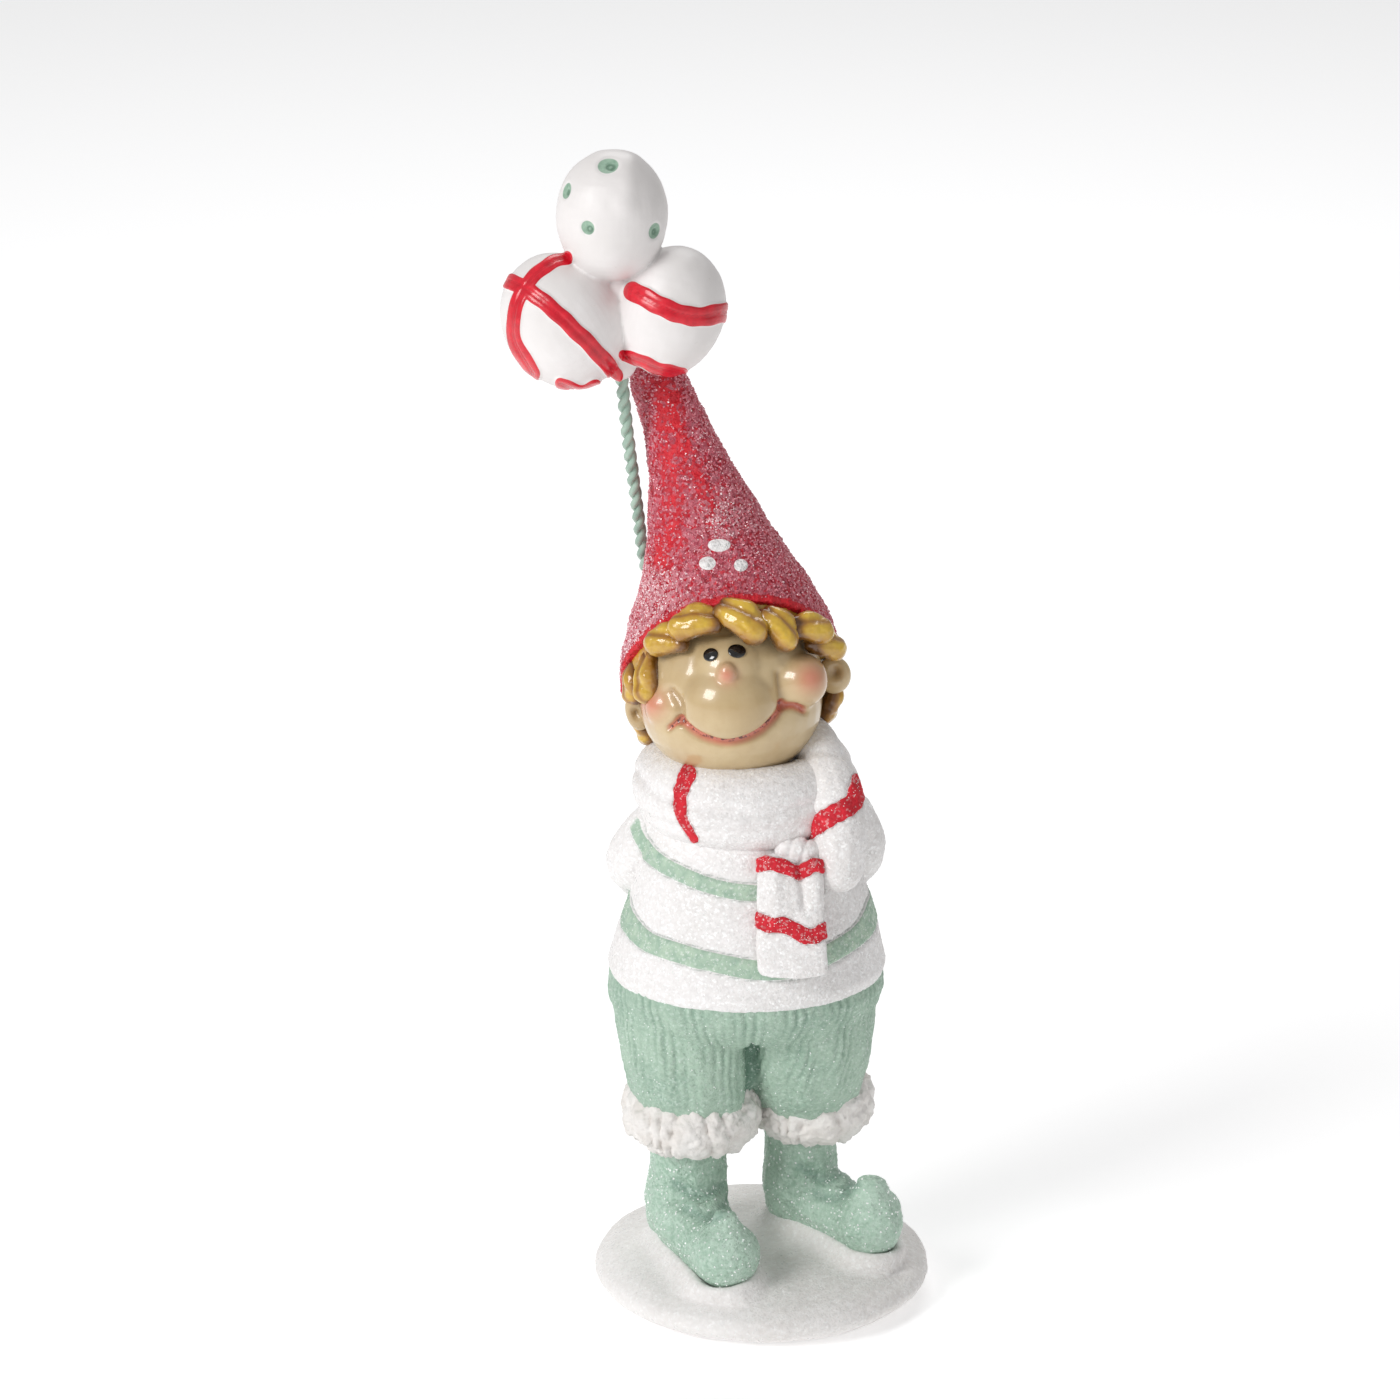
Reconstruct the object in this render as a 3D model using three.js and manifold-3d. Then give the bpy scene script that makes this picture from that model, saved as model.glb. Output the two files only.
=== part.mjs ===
// Winter gnome figurine: a painted polyresin child gnome on a snow base, holding
// three balloons on a twisted wire behind its back. Millimetres, +Z up.
// Origin: centre of the base's underside. The gnome faces -Y, so its left is +X.
import * as THREE from "three";
import { mergeVertices } from "three/addons/utils/BufferGeometryUtils.js";
import Module from "manifold-3d";

const wasm = await Module();
wasm.setup();

// ---------------------------------------------------------------- driving sizes
const gap = 0.3; // clearance between neighbouring pieces
const totalHeight = 170;
const base = { radius: 24.4, underRadius: 21.8, edgeHeight: 6.6, crownHeight: 7.6 };
const hemHeight = 48; // the jumper's lower edge, where the trousers begin
const cuffHeight = 26.6; // the height at which each boot shaft meets its trouser leg
const bodyDepth = 0.86; // the trunk's depth over its width
const wire = { strandRadius: 0.38, strandOffset: 0.55, pitch: 6, stepsPerTurn: 5, boreRadius: 1.35 };

const paint = {
  snow: { color: 0xf2f0ee, roughness: 0.8 },
  mint: { color: 0x9dbfae, roughness: 0.7 },
  white: { color: 0xf4f3f2, roughness: 0.75 },
  fur: { color: 0xf1eeea, roughness: 0.85 },
  skin: { color: 0xcbb78f, roughness: 0.35 },
  hair: { color: 0xb98f2e, roughness: 0.35 },
  hat: { color: 0xc62a44, roughness: 0.65 },
  gloss: { color: 0xf3f1ef, roughness: 0.5 },
  wire: { color: 0x86a596, roughness: 0.45 },
};

// ---------------------------------------------------------------- shape helpers
const vec = (p) => new THREE.Vector3(...p);
const forward = [0, -1, 0];

// A closed three.js geometry as a manifold-3d solid.
function solidOf(geometry) {
  const bare = geometry.clone();
  bare.deleteAttribute("normal");
  bare.deleteAttribute("uv");
  const merged = mergeVertices(bare, 1e-4);
  return new wasm.Manifold(
    new wasm.Mesh({
      numProp: 3,
      vertProperties: new Float32Array(merged.attributes.position.array),
      triVerts: new Uint32Array(merged.index.array),
    }),
  );
}

// A manifold-3d solid as a three.js geometry.
function geometryOf(solid) {
  const mesh = solid.getMesh();
  const positions = new Float32Array(mesh.numVert * 3);
  for (let i = 0; i < mesh.numVert; i++) {
    const start = i * mesh.numProp;
    positions.set(mesh.vertProperties.subarray(start, start + 3), i * 3);
  }
  const geometry = new THREE.BufferGeometry();
  geometry.setAttribute("position", new THREE.BufferAttribute(positions, 3));
  geometry.setIndex(new THREE.BufferAttribute(mesh.triVerts, 1));
  geometry.computeVertexNormals();
  return geometry;
}

// An ellipsoid with its poles along its own Z, leaning about Y and then X.
function blob({ at, radii, lean = 0, nod = 0, sides = 14, rings = 9 }, grow = 0) {
  const geometry = new THREE.SphereGeometry(1, sides, rings).rotateX(Math.PI / 2);
  geometry.scale(...radii.map((r) => r + grow));
  geometry.rotateY(THREE.MathUtils.degToRad(lean));
  geometry.rotateX(THREE.MathUtils.degToRad(nod));
  return solidOf(geometry.translate(...at));
}

// A turned shape about a vertical axis; the profile runs from its low pole to its high one.
function turned({ profile, at = [0, 0, 0], depth = 1, sides = 24 }, grow = 0) {
  const last = profile.length - 1;
  const points = profile.map(([radius, height], i) => {
    const radial = radius > 0 ? radius + grow : 0;
    const rise = i <= 1 ? -grow : i >= last - 1 ? grow : 0;
    return new THREE.Vector2(radial, height + rise);
  });
  const geometry = new THREE.LatheGeometry(points, sides).rotateX(Math.PI / 2);
  return solidOf(geometry.scale(1, depth, 1).translate(...at));
}

// Bends a unit cylinder or capsule along a curve. Each station is [x, y, z, radius].
function limb({ stations, flat = [1, 1], facing = forward, round = true, sides = 12, steps = 6 }, grow = 0) {
  const curve = new THREE.CatmullRomCurve3(stations.map(([x, y, z]) => vec([x, y, z])));
  const radiusAt = (u) => {
    const place = Math.min(u, 1) * (stations.length - 1);
    const i = Math.min(Math.floor(place), stations.length - 2);
    return THREE.MathUtils.lerp(stations[i][3], stations[i + 1][3], place - i) + grow;
  };
  const geometry = round
    ? new THREE.CapsuleGeometry(1, 2, 3, sides, steps)
    : new THREE.CylinderGeometry(1, 1, 2, sides, steps);
  const position = geometry.attributes.position;
  const point = new THREE.Vector3();
  for (let i = 0; i < position.count; i++) {
    point.fromBufferAttribute(position, i);
    const along = THREE.MathUtils.clamp((point.y + 1) / 2, 0, 1);
    const beyond = point.y - THREE.MathUtils.clamp(point.y, -1, 1);
    const tangent = curve.getTangent(along);
    const front = vec(facing).addScaledVector(tangent, -vec(facing).dot(tangent)).normalize();
    const side = new THREE.Vector3().crossVectors(front, tangent).negate();
    const radius = radiusAt(along);
    const endGrowth = round ? 0 : grow * Math.sign(point.y) * (Math.abs(point.y) >= 1 ? 1 : 0);
    const made = curve.getPoint(along);
    made.addScaledVector(tangent, beyond * radius * Math.min(...flat) + endGrowth);
    made.addScaledVector(side, -point.x * radius * flat[0]);
    made.addScaledVector(front, point.z * radius * flat[1]);
    position.setXYZ(i, made.x, made.y, made.z);
  }
  const solid = solidOf(geometry);
  return solid.volume() < 0 ? solidOf(flipped(geometry)) : solid;
}

function flipped(geometry) {
  const index = geometry.index.array;
  for (let i = 0; i < index.length; i += 3) {
    [index[i + 1], index[i + 2]] = [index[i + 2], index[i + 1]];
  }
  return geometry;
}

// A solid block between two corners, for trimming.
function block(low, high) {
  const size = vec(high).sub(vec(low));
  const middle = vec(low).addScaledVector(size, 0.5);
  return solidOf(new THREE.BoxGeometry(size.x, size.y, size.z).translate(middle.x, middle.y, middle.z));
}

const join = (...solids) => solids.reduce((all, one) => all.add(one));
const clear = (solid, ...shapes) => shapes.reduce((left, shape) => left.subtract(shape(gap)), solid);

// The largest body of a cut, without the slivers that a cut can leave.
function largest(solid) {
  return solid.decompose().sort((a, b) => b.volume() - a.volume())[0];
}

// ---------------------------------------------------------------- base and legs
function baseShape(grow = 0) {
  const edge = base.radius - base.underRadius;
  const half = base.edgeHeight / 2;
  const profile = [[0, 0]];
  for (let i = 0; i <= 6; i++) {
    const angle = -Math.PI / 2 + (Math.PI * i) / 6;
    profile.push([base.underRadius + edge * Math.cos(angle), half + half * Math.sin(angle)]);
  }
  profile.push([base.underRadius * 0.55, base.crownHeight - 0.25], [0, base.crownHeight]);
  return turned({ profile, sides: 36 }, grow);
}

const legs = {
  right: {
    shaft: [[-10.7, -1.3, cuffHeight - gap, 5.4], [-10.7, -1.2, 19, 5.6], [-10.9, -0.4, 12, 6.1]],
    foot: [
      [-11.0, 0.2, 11.6, 5.7], [-9.4, -6, 12.2, 5.4],
      [-7.0, -11.5, 11.4, 4.7], [-5.1, -16.2, 12.2, 4.7],
    ],
    tip: [[-5.1, -16.2, 13.5, 3.2], [-4.8, -16.8, 17.2, 1.2]],
    leg: [[-11.2, -0.4, 44, 9.2], [-10.6, -1.2, 36, 9.0], [-10.2, -1.5, cuffHeight, 7.4]],
    cuff: { at: [-10.2, -1.5, 27.2], radius: 9.4, half: 4.3 },
  },
  left: {
    shaft: [[5.7, 4.3, cuffHeight - gap, 5.2], [5.6, 4.6, 19, 5.4], [5.7, 5.4, 12, 5.8]],
    foot: [
      [6.0, 6.2, 11.6, 5.4], [9.0, 2.4, 12.2, 5.2],
      [12.4, -1.9, 11.4, 4.5], [15.7, -5.8, 12.0, 4.6],
    ],
    tip: [[15.7, -5.8, 13.4, 3.2], [16.1, -6.1, 16.9, 1.2]],
    leg: [[5.2, 1.6, 44, 9.8], [6.8, 3.4, 36, 7.7], [7.2, 4.0, cuffHeight, 6.8]],
    cuff: { at: [7.4, 4.0, 26.3], radius: 8.1, half: 3.9 },
  },
};

function bootShape(side, grow = 0) {
  const { shaft, foot, tip } = legs[side];
  return join(
    limb({ stations: shaft, round: false, steps: 3 }, grow),
    limb({ stations: foot }, grow),
    limb({ stations: tip, sides: 8, steps: 2 }, grow),
  );
}

function trousersShape(grow = 0) {
  const waist = hemHeight - gap;
  const profile = [
    [0, 36], [9, 36.6], [15.5, 39], [18.7, 42],
    [19.6, 45], [19.8, waist], [0, waist],
  ];
  const hips = turned({ profile, at: [-2.4, 0, 0], depth: bodyDepth }, grow);
  const leg = (side) => limb({ stations: legs[side].leg, round: false, sides: 16, steps: 4 }, grow);
  const both = join(hips, leg("right"), leg("left"));
  return both.subtract(block([-40, -40, waist + grow], [40, 40, 60]));
}

function cuffShape(side, grow = 0) {
  const { at, radius, half } = legs[side].cuff;
  const thick = 3.6;
  const profile = [];
  for (let i = 0; i <= 10; i++) {
    const angle = -Math.PI + (2 * Math.PI * i) / 10;
    profile.push([radius - thick + (thick + grow) * Math.cos(angle), (half + grow) * Math.sin(angle)]);
  }
  const points = profile.map(([r, z]) => new THREE.Vector2(r, z));
  const geometry = new THREE.LatheGeometry(points, 18).rotateX(Math.PI / 2);
  return solidOf(geometry.translate(...at));
}

// ---------------------------------------------------------------- jumper, sleeves and hands
function jumperShape(grow = 0) {
  const profile = [
    [0, hemHeight], [19.8, hemHeight], [19.7, 50.6], [18.9, 54], [18.2, 57], [17.0, 61],
    [15.8, 65], [14.8, 69], [13.8, 72.5], [11.5, 76.5], [8.0, 79], [0, 79.6],
  ];
  return turned({ profile, at: [-2.4, 0, 0], depth: bodyDepth }, grow);
}

const sleeves = {
  right: [
    [-11.5, 0.5, 73, 4.8], [-16.6, 2, 69, 4.9], [-17.7, 4.6, 64.4, 5.0],
    [-14.2, 11, 61, 4.5], [-8.4, 16.4, 60, 3.9],
  ],
  left: [
    [7.5, 0.5, 73.5, 4.8], [11.8, 2.5, 69.6, 4.9], [12.6, 5.2, 65, 4.9],
    [9.2, 11.5, 61.6, 4.5], [3.4, 16.4, 60.4, 3.9],
  ],
};
const sleeveShape = (side, grow = 0) => limb({ stations: sleeves[side], steps: 8, facing: [0, 0, 1] }, grow);

const hands = {
  right: { at: [-5.2, 18.9, 59.8], radii: [3.5, 2.9, 3.3] },
  left: { at: [0.4, 18.8, 60.2], radii: [3.3, 2.8, 3.2] },
};
const handShape = (side, grow = 0) => blob(hands[side], grow);

// ---------------------------------------------------------------- scarf
function wrapShape(grow = 0) {
  const centre = 10.9;
  const half = [5.3, 6.0];
  const points = [];
  for (let i = 0; i <= 10; i++) {
    const angle = -Math.PI + (2 * Math.PI * i) / 10;
    const radial = centre + (half[0] + grow) * Math.cos(angle);
    points.push(new THREE.Vector2(radial, (half[1] + grow) * Math.sin(angle)));
  }
  const geometry = new THREE.LatheGeometry(points, 22).rotateX(Math.PI / 2);
  return solidOf(geometry.scale(1, 0.9, 1).translate(-2.3, 0, 77.2));
}

const foldStations = [
  [6.6, 4.5, 85.5, 3.0], [8.6, -2.2, 84, 3.3], [10.4, -8, 78.6, 3.5],
  [11.2, -10.2, 73, 3.4], [11.4, -10.6, 69.2, 3.2],
];
const foldShape = (grow = 0) => limb({ stations: foldStations, flat: [1, 0.85], steps: 8 }, grow);

const tailStations = [
  [3.0, -12.8, 74, 4.4], [3.7, -14.4, 67, 5.3], [4.2, -16.5, 60, 5.5], [4.4, -17.3, 54.6, 5.4],
];
const tailShape = (grow = 0) => limb({ stations: tailStations, flat: [1, 0.3], steps: 6, sides: 14 }, grow);

const knot = { at: [6.6, -14.2, 72.4], radii: [3.0, 1.9, 2.6], sides: 12, rings: 8 };
const knotShape = (grow = 0) => blob(knot, grow);

// ---------------------------------------------------------------- head, ears and hair
const skull = {
  crown: { at: [-4.0, 0.2, 98], radii: [12.8, 11.5, 11.6], sides: 18, rings: 12 },
  jaw: { at: [-4.6, -1.2, 89.8], radii: [13.3, 12.0, 10.4], sides: 18, rings: 12 },
  muzzle: { at: [-4.9, -10.4, 94.4], radii: [7.2, 6.4, 5.8] },
  nose: { at: [-5.2, -15.6, 98.0], radii: [1.3, 1.3, 1.2], sides: 8, rings: 6 },
};
const headShape = (grow = 0) => join(...Object.values(skull).map((part) => blob(part, grow)));

const ears = {
  right: { at: [-17.9, 0.6, 88.2], radii: [1.9, 1.9, 3.1], lean: -12, sides: 10, rings: 6 },
  left: { at: [10.1, 1.6, 93.0], radii: [2.3, 1.9, 3.0], lean: 16, sides: 10, rings: 6 },
};
const earShape = (side, grow = 0) => blob(ears[side], grow);

// Each curl is a short bent lock: its two ends and its thickness.
const curls = [
  { from: [-19.2, -0.2, 95.2], to: [-19.0, -1.6, 91.6], radius: 1.7 },
  { from: [-16.7, -3.4, 99.0], to: [-16.8, -6.0, 94.6], radius: 1.9 },
  { from: [-14.8, -6.4, 103.0], to: [-11.8, -9.6, 100.6], radius: 1.9 },
  { from: [-11.6, -7.6, 106.4], to: [-7.8, -10.2, 104.6], radius: 2.1 },
  { from: [-6.0, -8.4, 108.4], to: [-1.6, -10.6, 105.6], radius: 2.2 },
  { from: [0.6, -8.2, 107.0], to: [3.6, -9.6, 102.8], radius: 1.9 },
  { from: [4.4, -6.2, 105.6], to: [8.0, -6.8, 103.2], radius: 1.8 },
  { from: [7.4, -3.4, 102.0], to: [10.2, -3.0, 99.0], radius: 1.9 },
  { from: [-17.6, 4.6, 86.4], to: [-16.4, 3.0, 83.6], radius: 1.7 },
  { from: [10.0, 4.8, 90.2], to: [8.8, 3.6, 87.0], radius: 1.7 },
];
// The nape's locks stand in a row along an arc under the hat's back edge.
for (let i = 0; i < 5; i++) {
  const angle = THREE.MathUtils.degToRad(28 + 31 * i);
  const x = -4.2 + 13.2 * Math.cos(angle);
  const y = 0.6 + 12.4 * Math.sin(angle);
  curls.push({ from: [x, y, 87.6], to: [x * 0.98 - 0.1, y * 0.97, 84.4], radius: 2.0 });
}
function curlShape({ from, to, radius }, grow = 0) {
  const out = vec(from).add(vec(to)).multiplyScalar(0.5).sub(vec([-4.2, 0, 95])).normalize();
  const bow = vec(from).lerp(vec(to), 0.5).addScaledVector(out, radius * 0.3);
  const stations = [[...from, radius * 0.85], [bow.x, bow.y, bow.z, radius], [...to, radius * 0.8]];
  return limb({ stations, sides: 8, steps: 2, facing: out.toArray() }, grow);
}

// ---------------------------------------------------------------- hat
const hatStations = [
  [-4.3, 2.6, 84, 15.9], [-4.3, 2.8, 91, 15.8], [-4.3, 3.1, 98, 15.0], [-5.0, 3.6, 104, 12.9],
  [-6.4, 4.4, 110, 10.5], [-8.4, 5.5, 118, 7.3], [-11.2, 7.0, 126.4, 5.3], [-13.9, 8.0, 132, 4.4],
  [-16.4, 8.6, 137.4, 3.4],
];
const brim = { front: [-4.2, -9, 109], slope: -50, roll: -11.6, backHeight: 84 };
function hatShape(grow = 0) {
  const cone = limb({ stations: hatStations, sides: 20, steps: 14 }, grow);
  const faceOpening = new THREE.BoxGeometry(90, 140, 60).translate(0, 0, -30 - grow);
  faceOpening.rotateX(THREE.MathUtils.degToRad(brim.slope));
  faceOpening.rotateY(THREE.MathUtils.degToRad(brim.roll)).translate(...brim.front);
  const belowBack = block([-50, -50, 40], [50, 50, brim.backHeight - grow]);
  return cone.subtract(solidOf(faceOpening)).subtract(belowBack);
}

// ---------------------------------------------------------------- wire and balloons
const stem = new THREE.CatmullRomCurve3(
  [
    [-5.0, 19.0, 56.6], [-5.2, 19.2, 62], [-9.2, 19.2, 80], [-14.0, 17.2, 95], [-16.7, 12.6, 106],
    [-17.7, 9.2, 115], [-18.5, 6.0, 122.7], [-19.1, 3.5, 128.7], [-19.7, 0.9, 136.2], [-19.8, 0.3, 139.6],
  ].map(vec),
);

// One strand winds round the stem's centre line; the other is half a turn away.
class Strand extends THREE.Curve {
  constructor(phase) {
    super();
    this.phase = phase;
    this.turns = stem.getLength() / wire.pitch;
  }
  getPoint(u) {
    const centre = stem.getPointAt(u);
    const tangent = stem.getTangentAt(u);
    const side = new THREE.Vector3(1, 0, 0).addScaledVector(tangent, -tangent.x).normalize();
    const front = new THREE.Vector3().crossVectors(tangent, side);
    const angle = this.phase + 2 * Math.PI * this.turns * u;
    centre.addScaledVector(side, wire.strandOffset * Math.cos(angle));
    return centre.addScaledVector(front, wire.strandOffset * Math.sin(angle));
  }
}

function strandSolid(phase) {
  const section = new THREE.Shape();
  section.absarc(0, 0, wire.strandRadius, 0, 2 * Math.PI);
  const path = new Strand(phase);
  const steps = Math.round(path.turns * wire.stepsPerTurn);
  return solidOf(new THREE.ExtrudeGeometry(section, { steps, curveSegments: 2, extrudePath: path }));
}

// The bores that the wire passes through, as spans of the stem's own length.
const inHands = [0, 0.12];
const inBalloons = [0.96, 1];
const inNeck = [0.94, 1];
function stemBore([from, to]) {
  const stations = [from, (from + to) / 2, to].map((u) => [...stem.getPointAt(u).toArray(), wire.boreRadius]);
  return limb({ stations, sides: 8, steps: 2 });
}

const balloons = {
  top: { at: [-21.0, 0, totalHeight - 9.2], radii: [7.7, 7.6, 9.2] },
  right: { at: [-28.0, 0, 146.4], radii: [8.1, 7.9, 9.4], lean: -36 },
  left: { at: [-12.9, 0, 147.2], radii: [7.1, 7.1, 9.1], lean: 14 },
};
const balloonShape = (side, grow = 0) => blob({ ...balloons[side], sides: 18, rings: 12 }, grow);
const neck = { at: [-19.7, 0.4, 138.6], radii: [2.2, 2.2, 2.6], sides: 12, rings: 8 };
const neckShape = (grow = 0) => blob(neck, grow);

// ---------------------------------------------------------------- assembly
const model = new THREE.Group();

function place(name, solid, coat) {
  const material = new THREE.MeshStandardMaterial({ ...paint[coat], metalness: 0 });
  const mesh = new THREE.Mesh(geometryOf(largest(solid)), material);
  mesh.name = name;
  model.add(mesh);
}

const sides = ["left", "right"];
place("snow_base", baseShape(), "snow");
for (const side of sides) {
  const boot = (grow) => bootShape(side, grow);
  place(`boot_${side}`, clear(boot(0), baseShape), "mint");
  place(`cuff_${side}`, clear(cuffShape(side), trousersShape, boot), "fur");
}
const bothBoots = (grow) => join(...sides.map((side) => bootShape(side, grow)));
place("trousers", clear(trousersShape(), bothBoots), "mint");
place("jumper", jumperShape(), "white");

const bothSleeves = (grow) => join(...sides.map((side) => sleeveShape(side, grow)));
const bothEars = (grow) => join(...sides.map((side) => earShape(side, grow)));
for (const side of sides) {
  place(`sleeve_${side}`, clear(sleeveShape(side), jumperShape).subtract(stemBore(inHands)), "white");
}
const rightHand = clear(handShape("right"), bothSleeves, jumperShape);
place("hand_right", rightHand.subtract(stemBore(inHands)), "skin");
const rightHandRoom = (grow) => handShape("right", grow);
place("hand_left", clear(handShape("left"), bothSleeves, jumperShape, rightHandRoom), "skin");

place("scarf_wrap", clear(wrapShape(), jumperShape, headShape, bothSleeves, foldShape), "white");
place("scarf_fold", clear(foldShape(), jumperShape, headShape, bothSleeves), "white");
place("scarf_knot", clear(knotShape(), jumperShape, wrapShape, foldShape), "white");
place("scarf_tail", clear(tailShape(), jumperShape, wrapShape, foldShape, knotShape), "white");

place("head", headShape(), "skin");
for (const side of sides) {
  place(`ear_${side}`, clear(earShape(side), headShape, hatShape, foldShape, wrapShape), "skin");
}
place("hat", clear(hatShape(), headShape, wrapShape, foldShape), "hat");
curls.forEach((curl, i) => {
  const earlier = curls.slice(0, i).map((other) => (grow) => curlShape(other, grow));
  const solid = clear(curlShape(curl), headShape, hatShape, bothEars, wrapShape, foldShape, ...earlier);
  place(`hair_curl_${String(i + 1).padStart(2, "0")}`, solid, "hair");
});

place("wire_strand_a", strandSolid(0), "wire");
place("wire_strand_b", strandSolid(Math.PI), "wire");
const topBalloon = (grow) => balloonShape("top", grow);
const rightBalloon = (grow) => balloonShape("right", grow);
const leftBalloon = (grow) => balloonShape("left", grow);
place("balloon_top", topBalloon(0), "gloss");
place("balloon_right", clear(rightBalloon(0), topBalloon).subtract(stemBore(inBalloons)), "gloss");
place("balloon_left", clear(leftBalloon(0), topBalloon, rightBalloon).subtract(stemBore(inBalloons)), "gloss");
const neckSolid = clear(neckShape(), rightBalloon, leftBalloon, topBalloon);
place("balloon_neck", neckSolid.subtract(stemBore(inNeck)), "gloss");

export default model;
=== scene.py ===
import bpy
import math
import numpy as np
from mathutils import Euler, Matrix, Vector
from mathutils.bvhtree import BVHTree


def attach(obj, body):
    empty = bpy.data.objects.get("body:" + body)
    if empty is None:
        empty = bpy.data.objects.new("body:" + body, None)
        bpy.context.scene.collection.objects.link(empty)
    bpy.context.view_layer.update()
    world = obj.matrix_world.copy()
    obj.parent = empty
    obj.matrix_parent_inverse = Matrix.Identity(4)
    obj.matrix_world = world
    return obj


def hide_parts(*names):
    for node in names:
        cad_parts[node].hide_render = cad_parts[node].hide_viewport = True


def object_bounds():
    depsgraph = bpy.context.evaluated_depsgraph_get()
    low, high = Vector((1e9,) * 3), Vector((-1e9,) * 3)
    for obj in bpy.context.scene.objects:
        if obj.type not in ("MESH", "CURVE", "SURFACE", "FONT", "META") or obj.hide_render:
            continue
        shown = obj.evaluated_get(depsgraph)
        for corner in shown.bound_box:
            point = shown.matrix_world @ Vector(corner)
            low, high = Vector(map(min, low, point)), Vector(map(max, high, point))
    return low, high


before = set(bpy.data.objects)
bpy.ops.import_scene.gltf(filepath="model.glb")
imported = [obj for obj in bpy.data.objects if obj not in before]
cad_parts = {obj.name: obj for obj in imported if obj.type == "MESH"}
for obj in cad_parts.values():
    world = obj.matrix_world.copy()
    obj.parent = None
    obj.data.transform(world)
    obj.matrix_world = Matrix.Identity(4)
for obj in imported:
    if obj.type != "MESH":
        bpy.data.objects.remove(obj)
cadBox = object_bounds()
mm = 0.001
figure = "figure"  # the body that stands still
stem = "balloon_stem"  # the body that sways
lookDown = math.radians(20)  # the view looks down by this much, and marks are drawn in a plane square to it

# camera, floor and light
studio = {
    "target": (-8.953, 0, 90.162), "distance": 900, "lens": 164.42,
    "floorColor": (0.95, 0.95, 0.955), "floorGlow": 0.32,
    "worldColor": (1.0, 1.0, 1.0), "worldStrength": 0.38,
    "lamps": [  # place in mm, size in mm, watts
        ((-560, -480, 520), 340, 4.2),
        ((480, -620, 330), 500, 0.25),
        ((60, 460, 620), 420, 1.6),
    ],
}


def letGo():
    bpy.ops.object.select_all(action="DESELECT")


def pick(*things):
    letGo()
    for thing in things:
        thing.select_set(True)
    bpy.context.view_layer.objects.active = things[0]


def metres(point):
    return Vector(point) * mm


def aim(thing, target):
    thing.rotation_euler = (Vector(target) * mm - thing.location).to_track_quat("-Z", "Y").to_euler()


letGo()
away = Vector((0, -math.cos(lookDown), math.sin(lookDown))) * studio["distance"]
bpy.ops.object.camera_add(location=metres(Vector(studio["target"]) + away))
camera = bpy.context.object
aim(camera, studio["target"])
camera.data.lens = studio["lens"]
camera.data.sensor_width = 36
bpy.context.scene.camera = camera
bpy.context.scene.view_settings.view_transform = "Standard"

for place, size, watts in studio["lamps"]:
    bpy.ops.object.light_add(type="AREA", location=metres(place))
    lamp = bpy.context.object
    lamp.data.size = size * mm
    lamp.data.energy = watts
    aim(lamp, (-5, 0, 80))
world = bpy.data.worlds.new("studioWhite")
world.use_nodes = True
world.node_tree.nodes["Background"].inputs["Color"].default_value = (*studio["worldColor"], 1)
world.node_tree.nodes["Background"].inputs["Strength"].default_value = studio["worldStrength"]
bpy.context.scene.world = world


# paints
def paint(code):  # "#rrggbb" as the shader's own linear colour
    parts = [int(code[i:i + 2], 16) / 255 for i in (1, 3, 5)]
    return tuple(p / 12.92 if p <= 0.04045 else ((p + 0.055) / 1.055) ** 2.4 for p in parts) + (1.0,)


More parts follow.
